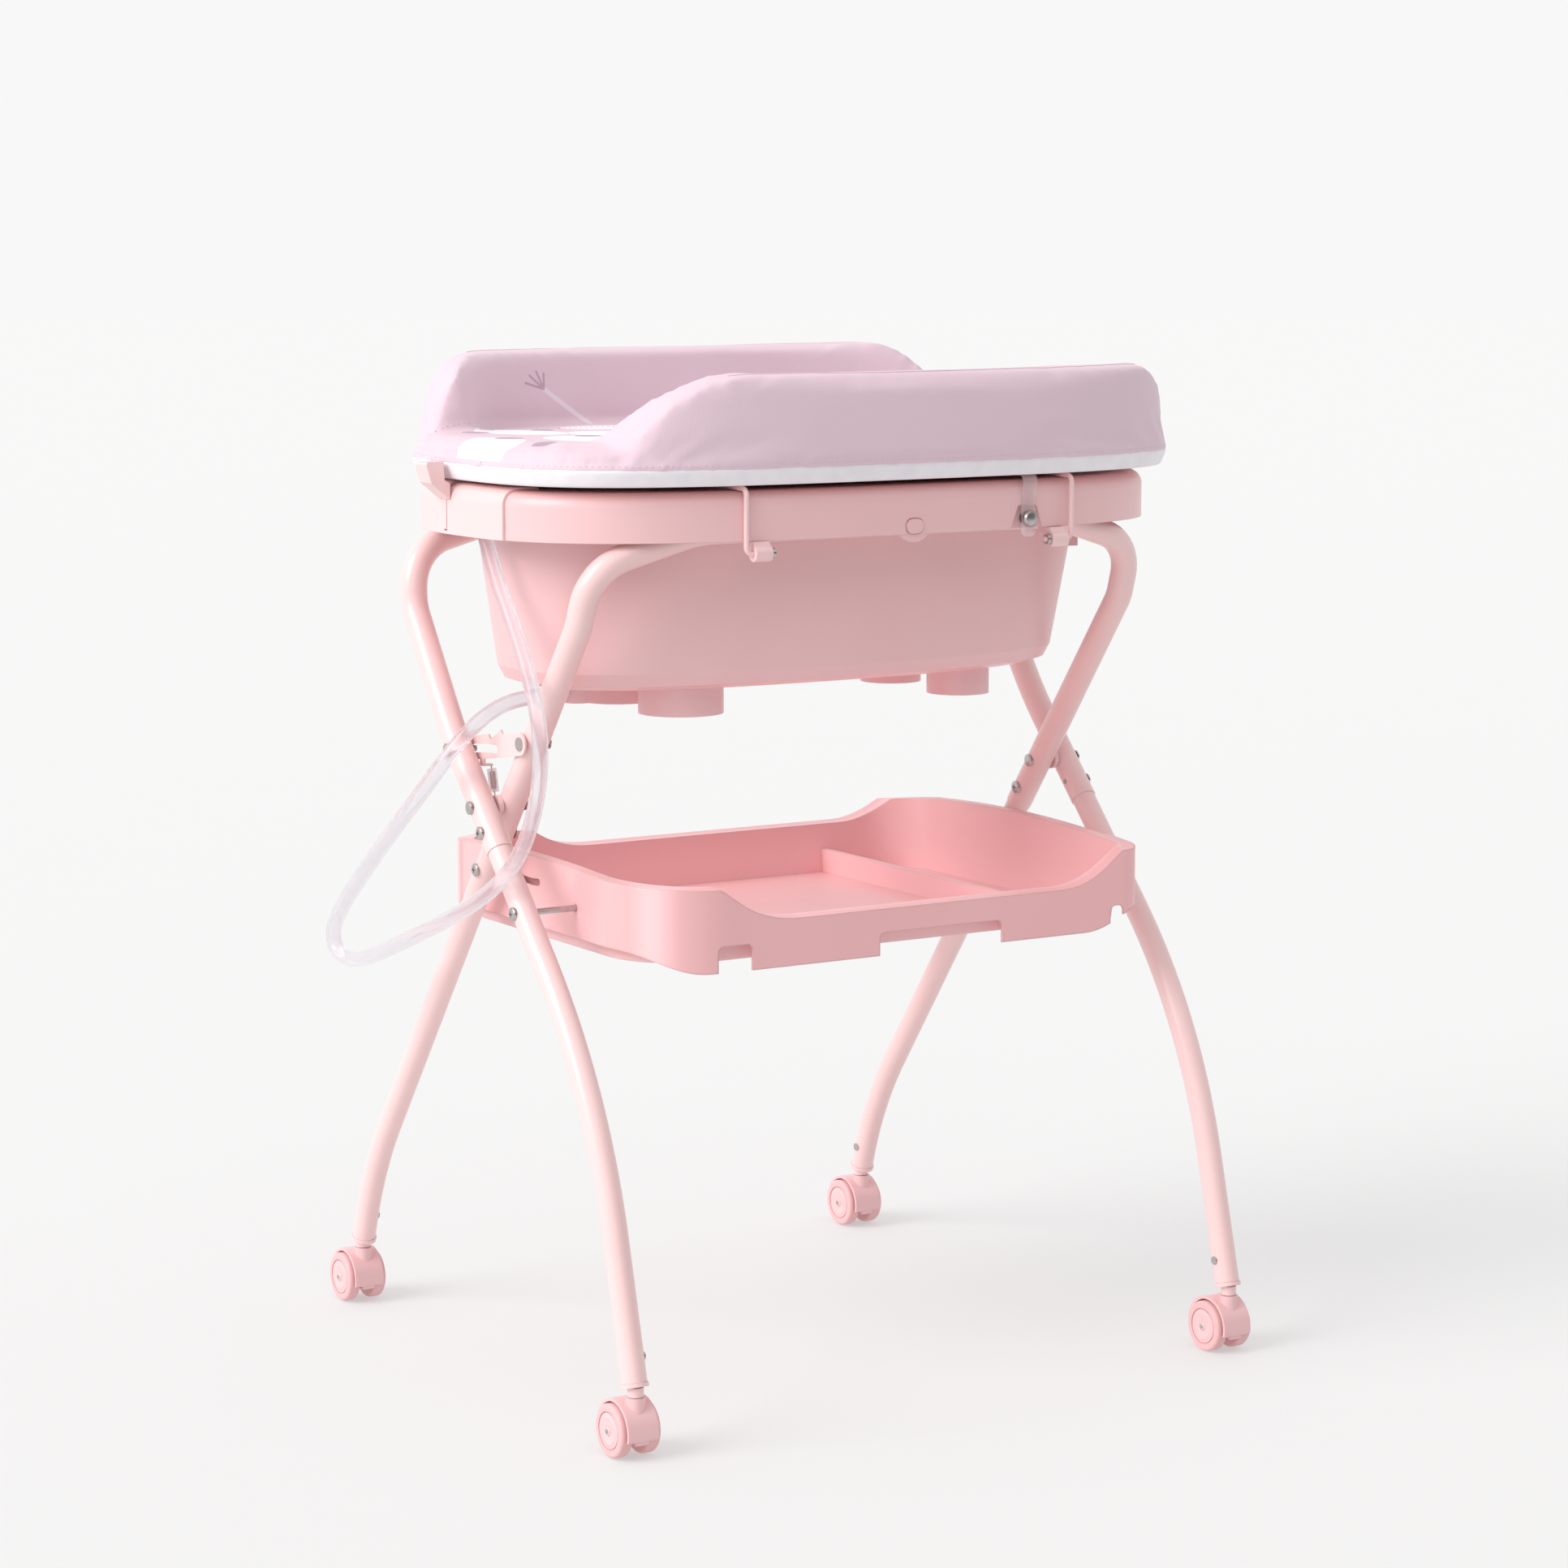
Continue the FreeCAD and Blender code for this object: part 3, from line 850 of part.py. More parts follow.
# ---------------------------------------------------------------- drain hose
# From the drain spout out between the upper left legs, down in a hanging loop outside both legs,
# and back up to a clip under the rim, where the free end is parked.
hose_points = [
    V(-255, -34, 664), V(-290, -31, 663), V(-324, -35, 654), V(-353, -37, 634), V(-374, -28, 606),
    V(-388, -5, 572), V(-396, 42, 530), V(-400, 93, 486), V(-401, 138, 449), V(-400, 165, 420),
    V(-398, 161, 397), V(-394, 127, 393), V(-388, 80, 409), V(-381, 26, 431), V(-374, -26, 453),
    V(-367, -74, 476), V(-360, -116, 502), V(-352, -142, 532), V(-344, -154, 570), V(-338, -157, 616),
    V(-335, -146, 660), V(-335, -124, 702), V(-337, -99, 744), V(-339, -71, 784), V(-341, -52, 826)]


def hose_radii(points):
    radii = []
    for a, b, c in zip(points, points[1:], points[2:]):
        turn = math.pi - (a - b).getAngle(c - b)
        shorter = min((a - b).Length, (c - b).Length)
        radii.append(0.45 * shorter / math.tan(turn / 2))
    return radii


radii = hose_radii(hose_points)
hose_path = rounded_path(hose_points, radii)
hose = swept(hose_path, HOSE_D)
print("hose length", round(hose_path.Length), "radii", [round(r) for r in radii])
print("hose volume ratio", round(hose.Volume / (math.pi * HOSE_D ** 2 / 4 * hose_path.Length), 4))
save("drain_hose", hose)

# clip under the rim that grips the parked end
hose_end = hose_points[-1]
end_way = (hose_points[-1] - hose_points[-2]).normalize()
clip_low = hose_end - end_way * 2
clip_high = V(hose_end.x, hose_end.y, RIM_TOP - SHELL - SNUG) + V(0, 4, 0)
clip = fused([rod(HOSE_D + 5, clip_low, hose_end + end_way * 24),
              box(hose_end.x - 3, hose_end.x + 8, hose_end.y - 2, hose_end.y + 14, hose_end.z + 8, RIM_TOP - SHELL - SNUG)])
clip = clip.cut(rod(HOSE_D + 2 * SNUG, clip_low - end_way * 5, hose_end + end_way * SNUG))
clip = clip.cut(box(-420, -300, -200, 200, RIM_TOP - SHELL - SNUG, 900))
save("hose_clip", clip)
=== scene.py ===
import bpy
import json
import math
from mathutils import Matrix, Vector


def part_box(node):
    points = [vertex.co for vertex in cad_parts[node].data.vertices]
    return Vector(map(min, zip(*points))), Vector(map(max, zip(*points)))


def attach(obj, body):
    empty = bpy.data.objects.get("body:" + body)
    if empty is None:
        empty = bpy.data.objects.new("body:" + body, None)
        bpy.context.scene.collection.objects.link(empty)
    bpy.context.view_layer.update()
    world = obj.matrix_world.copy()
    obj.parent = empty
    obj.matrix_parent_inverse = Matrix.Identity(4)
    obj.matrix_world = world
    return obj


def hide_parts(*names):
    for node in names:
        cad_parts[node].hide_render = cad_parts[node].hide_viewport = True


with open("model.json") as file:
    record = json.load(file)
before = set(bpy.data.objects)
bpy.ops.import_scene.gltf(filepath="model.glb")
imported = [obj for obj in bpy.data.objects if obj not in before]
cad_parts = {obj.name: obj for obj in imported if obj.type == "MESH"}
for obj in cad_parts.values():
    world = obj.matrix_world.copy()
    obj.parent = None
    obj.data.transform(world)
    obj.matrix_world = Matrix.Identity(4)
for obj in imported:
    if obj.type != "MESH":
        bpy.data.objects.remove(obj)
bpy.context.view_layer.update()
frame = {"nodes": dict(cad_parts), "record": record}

# %% [markdown]
# # A changing table, dressed for a studio picture
# The CAD model gives every hard part its true shape and place. This notebook gives those parts
# their finishes and makes the soft parts again: the padded top, its binding and seams, the vinyl
# strap and the drain hose.

scene = bpy.context.scene
nodes = frame["nodes"]


def select_only(*pieces):
    """Operators act on the selection, so it holds just these pieces."""
    bpy.ops.object.select_all(action="DESELECT")
    for piece in pieces:
        piece.select_set(True)
    if pieces:
        bpy.context.view_layer.objects.active = pieces[0]


def edit(piece, *steps):
    """Runs edit-mode steps on everything in one piece."""
    select_only(piece)
    bpy.ops.object.mode_set(mode="EDIT")
    bpy.ops.mesh.select_all(action="SELECT")
    for step in steps:
        step()
    bpy.ops.object.mode_set(mode="OBJECT")


def apply_modifier(piece, kind, **settings):
    """Adds one modifier, sets it up and applies it."""
    select_only(piece)
    modifier = piece.modifiers.new(kind.title(), kind)
    for key, value in settings.items():
        setattr(modifier, key, value)
    bpy.ops.object.modifier_apply(modifier=modifier.name)


select_only()

# %% [markdown]
# ## Shader maths as Python
# A finish is a small sum: some noise, some masks, a mix of colours. Written as nodes it is hard to
# read, so `Value` wraps one socket and turns `+`, `-`, `*`, `/`, `<` and `>` into Math nodes, and
# `Finish.add` makes any other node. A finish ends in one Principled shader.

# %% Value and Finish
class Value:
    """One output socket whose arithmetic adds Math nodes."""

    def __init__(self, tree, socket):
        self.tree, self.socket = tree, socket

    def maths(self, operation, *items, clamp=False):
        node = self.tree.nodes.new("ShaderNodeMath")
        node.operation, node.use_clamp = operation, clamp
        for slot, item in zip(node.inputs, items or (self,)):
            feed(self.tree, slot, item)
        return Value(self.tree, node.outputs[0])

    def __add__(self, other): return self.maths("ADD", self, other)
    def __sub__(self, other): return self.maths("SUBTRACT", self, other)
    def __mul__(self, other): return self.maths("MULTIPLY", self, other)
    def __truediv__(self, other): return self.maths("DIVIDE", self, other)
    def __rsub__(self, other): return self.maths("SUBTRACT", other, self)
    def __gt__(self, other): return self.maths("GREATER_THAN", self, other)
    def __lt__(self, other): return self.maths("LESS_THAN", self, other)
    __radd__, __rmul__ = __add__, __mul__

    def smooth(self, low, high):
        """0 below low, 1 above high, and an even ramp between."""
        return self.maths("MULTIPLY", self - low, 1.0 / (high - low), clamp=True)


def feed(tree, slot, item):
    if isinstance(item, Value):
        tree.links.new(item.socket, slot)
    else:
        slot.default_value = item


class Finish:
    """A material with one Principled shader and the nodes that drive it."""

    def __init__(self, name, **constants):
        self.material = bpy.data.materials.new(name)
        self.material.use_nodes = True
        self.tree = self.material.node_tree
        self.shader = self.tree.nodes["Principled BSDF"]
        self.set(**constants)

    def set(self, **sockets):
        for key, item in sockets.items():
            feed(self.tree, self.shader.inputs[key.replace("_", " ")], item)

    def add(self, kind, settings=None, output=0, **values):
        node = self.tree.nodes.new("ShaderNode" + kind)
        for key, item in (settings or {}).items():
            setattr(node, key, item)
        for key, item in values.items():
            numbered = key[0] == "i" and key[1:].isdigit()
            feed(self.tree, node.inputs[int(key[1:]) if numbered else key.replace("_", " ")], item)
        return Value(self.tree, node.outputs[output])

    def place(self):
        """The point on the piece, in metres."""
        return self.add("TexCoord", output=3)

    def noise(self, scale, detail=3.0, rough=0.5, where=None):
        return self.add("TexNoise", Vector=where or self.place(), Scale=scale, Detail=detail, Roughness=rough)

    def mix(self, mask, first, second):
        return self.add("Mix", {"data_type": "RGBA"}, output=2, i0=mask, i6=first, i7=second)

    def bump(self, height, distance, strength=1.0):
        self.set(Normal=self.add("Bump", Height=height, Distance=distance, Strength=strength))


def colour(red, green, blue):
    """A screen colour from 0 to 255 as the linear colour that shaders use."""
    linear = [(c / 255 / 12.92) if c < 10 else ((c / 255 + 0.055) / 1.055) ** 2.4 for c in (red, green, blue)]
    return (*linear, 1.0)


# %% [markdown]
# ## Pink finishes
# Three pinks differ only a little: powder paint on the tubes, satin plastic on the mouldings, and a
# softer plastic on the wheels. Paint has a faint orange-peel skin. Moulded plastic has a fine spark
# texture and slow changes of tone where it cooled. The tray's inside is painted a paler pink than its
# skirt: painted bounce light, standing in for the light its pink walls throw inside, not a different
# plastic. Nothing moulded has a knife edge, so a Bevel node rounds the shading at each edge by a set
# radius and leaves the CAD mesh as it is.

# %% Painted tube and moulded plastics
def inside(finish, x_low, x_high, y_low, y_high, blend=0.012):
    """1 within a rectangle seen from above, fading to 0 over the blend."""
    x, y = finish.add("SeparateXYZ", Vector=finish.place()), finish.add("SeparateXYZ", output=1, Vector=finish.place())
    return (x.smooth(x_low - blend, x_low) * (1.0 - x.smooth(x_high, x_high + blend))
            * y.smooth(y_low - blend, y_low) * (1.0 - y.smooth(y_high, y_high + blend)))


def pink_finish(name, base, deep, grain, grain_height, roughness, coat, edge, painted_bounce_box=None, painted_bounce_colour=None):
    finish = Finish(name, IOR=1.47, Coat_Weight=coat, Coat_Roughness=0.18)
    tone = finish.noise(7.0, 2.0).smooth(0.3, 0.75)
    tinted = finish.mix(tone * 0.55, base, deep)
    # Inside the given box the base colour is painted paler: painted bounce light from the tray's pink walls.
    if painted_bounce_box:
        tinted = finish.mix(inside(finish, *painted_bounce_box), tinted, painted_bounce_colour)
    finish.set(Base_Color=tinted)
    fine = finish.noise(grain, 2.0, 0.6)
    broad = finish.noise(24.0, 3.0)
    finish.set(Roughness=roughness + (broad - 0.5) * 0.14 + (fine - 0.5) * 0.1)
    rounded = finish.add("Bevel", {"samples": 6}, Radius=edge)
    finish.set(Normal=finish.add("Bump", Height=fine + broad * 0.35, Distance=grain_height, Strength=0.55,
                                 Normal=rounded))
    return finish.material


paint = pink_finish("powder_paint", colour(243, 208, 207), colour(238, 200, 199),
                    900.0, 0.00006, 0.34, 0.25, 0.0005)
moulded = pink_finish("moulded_plastic", colour(240, 196, 198), colour(234, 188, 190),
                      1500.0, 0.00004, 0.38, 0.12, 0.0012)
pale_moulded = pink_finish("pale_plastic", colour(243, 208, 208), colour(238, 200, 200),
                           1500.0, 0.00004, 0.36, 0.12, 0.0008)
# The paler base over the tray's inside is painted bounce light, not a second colour of plastic.
tray_plastic = pink_finish("tray_plastic", colour(241, 186, 188), colour(235, 176, 178),
                           1300.0, 0.00005, 0.42, 0.08, 0.0030,
                           painted_bounce_box=(-0.262, 0.264, -0.226, 0.150), painted_bounce_colour=colour(253, 206, 208))
wheel_plastic = pink_finish("wheel_plastic", colour(235, 186, 188), colour(228, 176, 178),
                            700.0, 0.00008, 0.5, 0.05, 0.0008)
print("pink finishes ready")

# %% [markdown]
# ## Plated steel and clear vinyl
# Rivets and screws are nickel-plated (the stay takes the tube paint): a metal with thin brushed marks
# and a few dull patches. The strap, the spring's sleeve and the hose are soft vinyl. Most light goes through
# them, and their skin is a little cloudy, so the roughness carries a slow noise.

# %% Metal and vinyl
steel_finish = Finish("plated_steel", Metallic=1.0)
brushed = steel_finish.noise(180.0, 6.0, 0.7)
steel_finish.set(Base_Color=steel_finish.mix(brushed, colour(212, 208, 206), colour(168, 164, 163)),
                 Roughness=0.2 + brushed * 0.22)
steel_finish.bump(brushed, 0.00003, 0.5)
steel = steel_finish.material


def vinyl_finish(name, tint, transmission, alpha):
    finish = Finish(name, Transmission_Weight=transmission, IOR=1.42, Coat_Weight=0.5, Coat_Roughness=0.08, Alpha=alpha)
    cloud = finish.noise(60.0, 3.0)
    finish.set(Base_Color=finish.mix(cloud.smooth(0.35, 0.7) * 0.6, tint, colour(250, 244, 248)),
               Roughness=0.06 + cloud * 0.12)
    finish.bump(cloud, 0.0001, 0.12)
    return finish.material


clear_vinyl = vinyl_finish("clear_vinyl", colour(250, 230, 232), 0.6, 0.5)
hose_vinyl = vinyl_finish("hose_vinyl", colour(242, 234, 243), 0.8, 0.62)

# %% [markdown]
# ## Coated cloth and satin
# The pad's cover is a lilac coated cloth: matt, with a very fine weave that shows only close up.
# Its print is soft white blots with small mauve lens shapes, and a plain sprig on the rear wall.
# Each shape is an ellipse or a short stroke, worked out from the distance to it.

# %% The printed cover
def weave(finish, pitch):
    """Height of a plain weave of a given thread pitch, in metres."""
    parts = []
    for axis in ("X", "Y", "Z"):
        wave = finish.add("TexWave", {"bands_direction": axis}, output=1, Vector=finish.place(),
                          Scale=0.314 / pitch / 2, Distortion=0.4, Detail=1.0)
        parts.append(wave)
    return (parts[0] + parts[1] + parts[2]) / 3


cover_finish = Finish("coated_cloth", Sheen_Weight=0.12, Sheen_Roughness=0.5, IOR=1.42)
split = cover_finish.tree.nodes.new("ShaderNodeSeparateXYZ")
cover_finish.tree.links.new(cover_finish.place().socket, split.inputs[0])
x, y, z = (Value(cover_finish.tree, out) for out in split.outputs)


def lens(across, along, centre_x, centre_y, slant=0.0):
    """1 inside an ellipse that lies on the bed, with a soft edge."""
    dx, dy = x - centre_x, y - centre_y
    c, s = math.cos(slant), math.sin(slant)
    u, v = (dx * c + dy * s) / across, (dy * c - dx * s) / along
    return 1 - (u * u + v * v).smooth(0.92, 1.0)


def stroke(start, end, width):
    """1 on a short stroke that lies on the rear wall's face."""
    ax, az = start
    bx, bz = end[0] - ax, end[1] - az
    length = bx * bx + bz * bz
    px, pz = x - ax, z - az
    along = ((px * bx + pz * bz) / length).maths("ADD", (px * bx + pz * bz) / length, 0.0, clamp=True)
    dx, dz = px - along * bx, pz - along * bz
    return 1 - (dx * dx + dz * dz).smooth(width * width * 0.8, width * width * 1.2)


def either(first, second):
    return first.maths("MAXIMUM", first, second)


blots = None
for blot in ((0.030, 0.045, -0.345, -0.075), (0.034, 0.055, -0.262, 0.02, 0.3), (0.036, 0.050, -0.262, -0.105),
             (0.030, 0.040, -0.205, -0.03, -0.3), (0.045, 0.035, -0.15, 0.06), (0.05, 0.035, -0.07, -0.06),
             (0.045, 0.06, 0.0, 0.05, -0.3), (0.055, 0.03, 0.09, -0.05), (0.04, 0.05, 0.17, 0.04, 0.5),
             (0.05, 0.04, 0.26, -0.02)):
    shape = lens(*blot)
    blots = shape if blots is None else either(blots, shape)
spots = None
for spot in ((0.012, 0.017, -0.300, 0.040, 0.2), (0.013, 0.016, -0.319, -0.063, 0.1),
             (0.013, 0.010, -0.323, -0.139, 0.1),
             (0.013, 0.015, -0.237, -0.067, -0.2), (0.012, 0.012, -0.225, 0.045, 0.3), (0.012, 0.007, -0.10, 0.0, 0.4),
             (0.012, 0.006, -0.02, -0.02, -0.2), (0.011, 0.006, 0.08, 0.05, 0.5), (0.012, 0.006, 0.22, 0.03, 0.1)):
    shape = lens(*spot)
    spots = shape if spots is None else either(spots, shape)
stem = stroke((-0.131, 0.913), (-0.181, 0.947), 0.0024)
sprig = None
for end in ((-0.2036, 0.9535), (-0.1975, 0.9605), (-0.189, 0.9643), (-0.180, 0.9620)):
    shape = stroke((-0.181, 0.947), end, 0.0012)
    sprig = shape if sprig is None else either(sprig, shape)
on_bed = (z < 0.928) * (z > 0.893) * (y < 0.15) * (y > -0.2)
on_rear = (y > 0.1) * (y < 0.165)
tone = cover_finish.noise(5.0, 2.0)
lilac = cover_finish.mix(tone.smooth(0.35, 0.7) * 0.5, colour(226, 200, 211), colour(219, 192, 204))
lilac = cover_finish.mix(blots * on_bed * 0.85, lilac, colour(250, 247, 250))
lilac = cover_finish.mix(spots * on_bed * 0.85, lilac, colour(172, 142, 160))
lilac = cover_finish.mix(stem * on_rear * 0.7, lilac, colour(238, 230, 236))
lilac = cover_finish.mix(sprig * on_rear * 0.8, lilac, colour(186, 150, 168))
crumple = cover_finish.noise(38.0, 4.0, 0.55)
threads = weave(cover_finish, 0.0007)
cover_finish.set(Base_Color=lilac, Roughness=0.5 + (crumple - 0.5) * 0.16 + threads * 0.08)
cover_finish.bump(threads * 0.25 + crumple, 0.0006, 0.45)
cover = cover_finish.material

satin_finish = Finish("satin_binding", Sheen_Weight=0.3, Sheen_Roughness=0.35, IOR=1.45)
satin_weave = weave(satin_finish, 0.0005)
gathers = satin_finish.noise(55.0, 2.0)
satin_finish.set(Base_Color=satin_finish.mix(gathers, colour(246, 243, 246), colour(232, 226, 233)),
                 Roughness=0.42 + satin_weave * 0.12)
satin_finish.bump(satin_weave * 0.2 + gathers, 0.0009, 0.5)
satin = satin_finish.material

thread_finish = Finish("sewing_thread", Sheen_Weight=0.2)
twist = thread_finish.noise(1800.0, 1.0)
thread_finish.set(Base_Color=thread_finish.mix(twist, colour(240, 228, 236), colour(214, 194, 206)),
                  Roughness=0.55 + twist * 0.2)
thread = thread_finish.material
print("finishes:", len(bpy.data.materials))

# %% [markdown]
# ## Finishes on the CAD parts
# Each hard part keeps its CAD mesh and only changes its material slot. The record already says
# which part is paint, plastic or steel, so the list is short.

# %% Hand the finishes out
by_slot = {"frame_paint": paint, "pink_plastic": moulded, "pale_plastic": pale_moulded, "tread": wheel_plastic,
           "steel": steel, "board": pale_moulded, "cloth": cover, "binding": satin, "clear_vinyl": clear_vinyl,
           "hose_vinyl": hose_vinyl}
slot_of = {part["node"]: part["material_slot"] for part in frame["record"]["subparts"]}
for name, node in nodes.items():
    finish = tray_plastic if name == "storage_tray" else paint if name == "stay_link" else by_slot[slot_of[name]]
    node.data.materials.clear()
    node.data.materials.append(finish)
print("dressed", len(nodes), "CAD parts")


def finished(piece, name, material, body, smooth=35):
    """Names a new piece, gives it its finish and body, and shades its flat faces flat."""
    piece.name = piece.data.name = name
    piece.data.materials.clear()
    piece.data.materials.append(material)
    select_only(piece)
    bpy.ops.object.transform_apply(location=True, rotation=True, scale=True)
    if smooth:
        bpy.ops.object.shade_smooth_by_angle(angle=math.radians(smooth))
    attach(piece, body)
    return piece


# %% [markdown]
# ## The padded top
# The real top is one cover over a foam bed and two foam side walls. The bed and walls start as
# copies of the CAD solids, joined and voxel-remeshed so that the cover runs over them in one skin.
# A short cloth simulation with a little air pressure then fills the skin, as foam fills a cover:
# broad faces crown and hard edges turn round. Points that rest on the board are held, no point
# may move more than a few millimetres, and the foam keeps the walls from sinking.

# %% One skin over bed and walls
def merged_copy(node, name):
    piece = bpy.data.objects.new(name, nodes[node].data.copy())
    scene.collection.objects.link(piece)
    edit(piece, lambda: bpy.ops.mesh.remove_doubles(threshold=0.00001))
    return piece


pad = merged_copy("pad_bed", "changing_pad")
walls = [merged_copy(node, node + "_foam") for node in ("pad_front_wall", "pad_back_wall")]
select_only(pad, *walls)
bpy.ops.object.join()
apply_modifier(pad, "REMESH", mode="VOXEL", voxel_size=0.0055)
apply_modifier(pad, "SMOOTH", factor=0.5, iterations=3)
apply_modifier(pad, "DISPLACE", strength=0.0008, mid_level=0.0, direction="NORMAL")
print("pad skin has", len(pad.data.vertices), "points")

# %% Fill it
board_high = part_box("pad_board")[1]
held = pad.vertex_groups.new(name="held")
held.add([v.index for v in pad.data.vertices if v.co.z < board_high.z + 0.0015], 1.0, "REPLACE")
FILL_CAP = 0.0055


def fill_with_air(piece, pressure, frames, cap, stiff_above):
    """Runs a cloth simulation with pressure and keeps each point within a cap of its start."""
    start = [v.co.copy() for v in piece.data.vertices]
    cloth = piece.modifiers.new("Fill", "CLOTH")
    cloth.settings.quality = 4
    cloth.settings.use_pressure = True
    cloth.settings.uniform_pressure_force = pressure
    cloth.settings.vertex_group_mass = "held"
    cloth.settings.effector_weights.gravity = 0.0
    cloth.collision_settings.use_collision = False
    cloth.point_cache.frame_start, cloth.point_cache.frame_end = 1, frames
    for number in range(1, frames + 1):
        scene.frame_set(number)
    shown = piece.evaluated_get(bpy.context.evaluated_depsgraph_get()).to_mesh()
    moved = [v.co.copy() for v in shown.vertices]
    piece.modifiers.remove(cloth)
    furthest = 0.0
    for vertex, old, new in zip(piece.data.vertices, start, moved):
        step = new - old
        if step.length > cap:
            step *= cap / step.length
        if old.z > stiff_above:
            step.z = max(step.z, 0.0005)
        vertex.co = old + step
        furthest = max(furthest, step.length)
    scene.frame_set(1)
    print("filled, furthest point moved", round(furthest * 1000, 1), "mm")


fill_with_air(pad, 4.0, 16, FILL_CAP, board_high.z + 0.035)
apply_modifier(pad, "SMOOTH", factor=0.5, iterations=2)

# %% [markdown]
# ### Tucked under the binding
# The cover is sewn inside the binding, so its lowest strip runs in under it. Points below the
# binding's top edge are pulled in towards the middle, onto a slightly smaller copy of the pad's
# rounded outline, and the strip just above it is drawn out flush with that outline.

# %% Pull the lowest strip in
band_low, band_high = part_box("edge_binding")
middle = (band_low + band_high) / 2
half = (band_high - band_low) / 2
FULLNESS = 3.3
BINDING_TOP = 0.8885


def outline_share(point, inset):
    """1 on the rounded outline, less inside it and more outside."""
    across = abs(point.x - middle.x) / (half.x - inset)
    along = abs(point.y - middle.y) / (half.y - inset)
    return (across ** FULLNESS + along ** FULLNESS) ** (1 / FULLNESS)


tucked = 0
for vertex in pad.data.vertices:
    if vertex.co.z > BINDING_TOP + 0.004:
        continue
    inset = 0.0004 + max(0.0, min(1.0, (BINDING_TOP - vertex.co.z) / 0.010)) * 0.0080
    share = outline_share(vertex.co, inset)
    over_binding = vertex.co.z > BINDING_TOP - 0.0025
    if share > 1 or (over_binding and share > 0.94):
        vertex.co.x = middle.x + (vertex.co.x - middle.x) / share
        vertex.co.y = middle.y + (vertex.co.y - middle.y) / share
        tucked += 1
print("tucked", tucked, "points")

# %% [markdown]
# ### Puckers
# Where the cover turns round the low end of the front wall it has too much cloth, and the seam
# gathers it in small folds. A displacement limited to that place gives the folds real depth.

# %% Puckers at the wall's low end
puckered = pad.vertex_groups.new(name="puckered")
for vertex in pad.data.vertices:
    px, py, pz = vertex.co
    near_end = 0.3 * max(0.0, 1 - abs(px + 0.25) / 0.07) * (py < -0.15) * max(0.0, 1 - abs(pz - 0.9) / 0.022)
    near_seam = 0.7 * max(0.0, 1 - abs(pz - 0.893) / 0.011)
    puckered.add([vertex.index], min(1.0, near_end + near_seam), "REPLACE")
folds = bpy.data.textures.new("folds", "CLOUDS")
folds.noise_scale, folds.noise_depth = 0.016, 2
apply_modifier(pad, "DISPLACE", texture=folds, texture_coords="LOCAL", strength=0.0042, mid_level=0.5,
               vertex_group="puckered")
print("folds sewn in round the low end of the front wall")
apply_modifier(pad, "SUBSURF", levels=1, render_levels=1)
finished(pad, "changing_pad", cover, "changing_top", smooth=0)
select_only(pad)
bpy.ops.object.shade_smooth()
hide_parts("pad_bed", "pad_front_wall", "pad_back_wall")
pad_faces = len(pad.data.polygons)
print("pad faces", pad_faces)

# %% [markdown]
# ### Binding, seam and stitches
# A white satin binding closes the pad's edge. It is a strip that follows the pad's outline, so it
# starts as a circle whose points are moved onto that outline, and is extruded level by level.
# A row of stitches runs just above it, and a raised seam follows the top edge of each wall.

# %% The outline of the pad
def outline_points(count, inset=0.0):
    """Points evenly spaced along the pad's rounded outline."""
    dense = []
    for i in range(count * 20):
        turn = 2 * math.pi * i / (count * 20)
        c, s = math.cos(turn), math.sin(turn)
        dense.append(Vector(((half.x - inset) * math.copysign(abs(c) ** (2 / FULLNESS), c) + middle.x,
                             (half.y - inset) * math.copysign(abs(s) ** (2 / FULLNESS), s) + middle.y)))
    lengths = [0.0]
    for a, b in zip(dense, dense[1:] + dense[:1]):
        lengths.append(lengths[-1] + (b - a).length)
    points, place = [], 0
    for i in range(count):
        wanted = lengths[-1] * i / count
        while lengths[place + 1] < wanted:
            place += 1
        points.append(dense[place])
    return points, lengths[-1]


# %% The satin binding
POINTS = 360
bpy.ops.mesh.primitive_circle_add(vertices=POINTS, radius=0.1)
binding = bpy.context.object
levels = [(0.0110, 0.8723), (0.0066, 0.8721), (0.0052, 0.8738), (0.0036, 0.8780), (0.0020, 0.8830),
          (0.0010, 0.8868), (0.0024, 0.8890)]
for inset, height in levels[1:]:
    edit(binding, lambda: bpy.ops.mesh.select_all(action="DESELECT"))
    for vertex in binding.data.vertices:
        vertex.select = vertex.index >= len(binding.data.vertices) - POINTS
    for edge in binding.data.edges:
        edge.select = all(binding.data.vertices[i].select for i in edge.vertices)
    bpy.ops.object.mode_set(mode="EDIT")
    bpy.ops.mesh.extrude_region_move(TRANSFORM_OT_translate={"value": (0, 0, 0.002)})
    bpy.ops.object.mode_set(mode="OBJECT")
for level, (inset, height) in enumerate(levels):
    ring, _ = outline_points(POINTS, inset)
    for i, point in enumerate(ring):
        ripple = 0.00025 * math.sin(i * 2.3) if 1 < level < 5 else 0.0
        binding.data.vertices[level * POINTS + i].co = (point.x, point.y, height + ripple)
edit(binding, lambda: bpy.ops.mesh.normals_make_consistent(inside=False))
apply_modifier(binding, "SOLIDIFY", thickness=0.0014, offset=-1.0)
apply_modifier(binding, "SUBSURF", levels=1, render_levels=1)
finished(binding, "satin_binding", satin, "changing_top", smooth=60)
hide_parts("edge_binding")
print("binding faces", len(binding.data.polygons))

# %% [markdown]
# The stitches are one tiny capsule, copied along the outline and set on the cover by a ray from
# outside. The seam on each wall is a thin raised line found in the same way.

# %% Rays onto the cover
def on_cover(start, direction):
    hit, spot, normal, _ = pad.ray_cast(start, direction)
    return (spot, normal) if hit else (None, None)


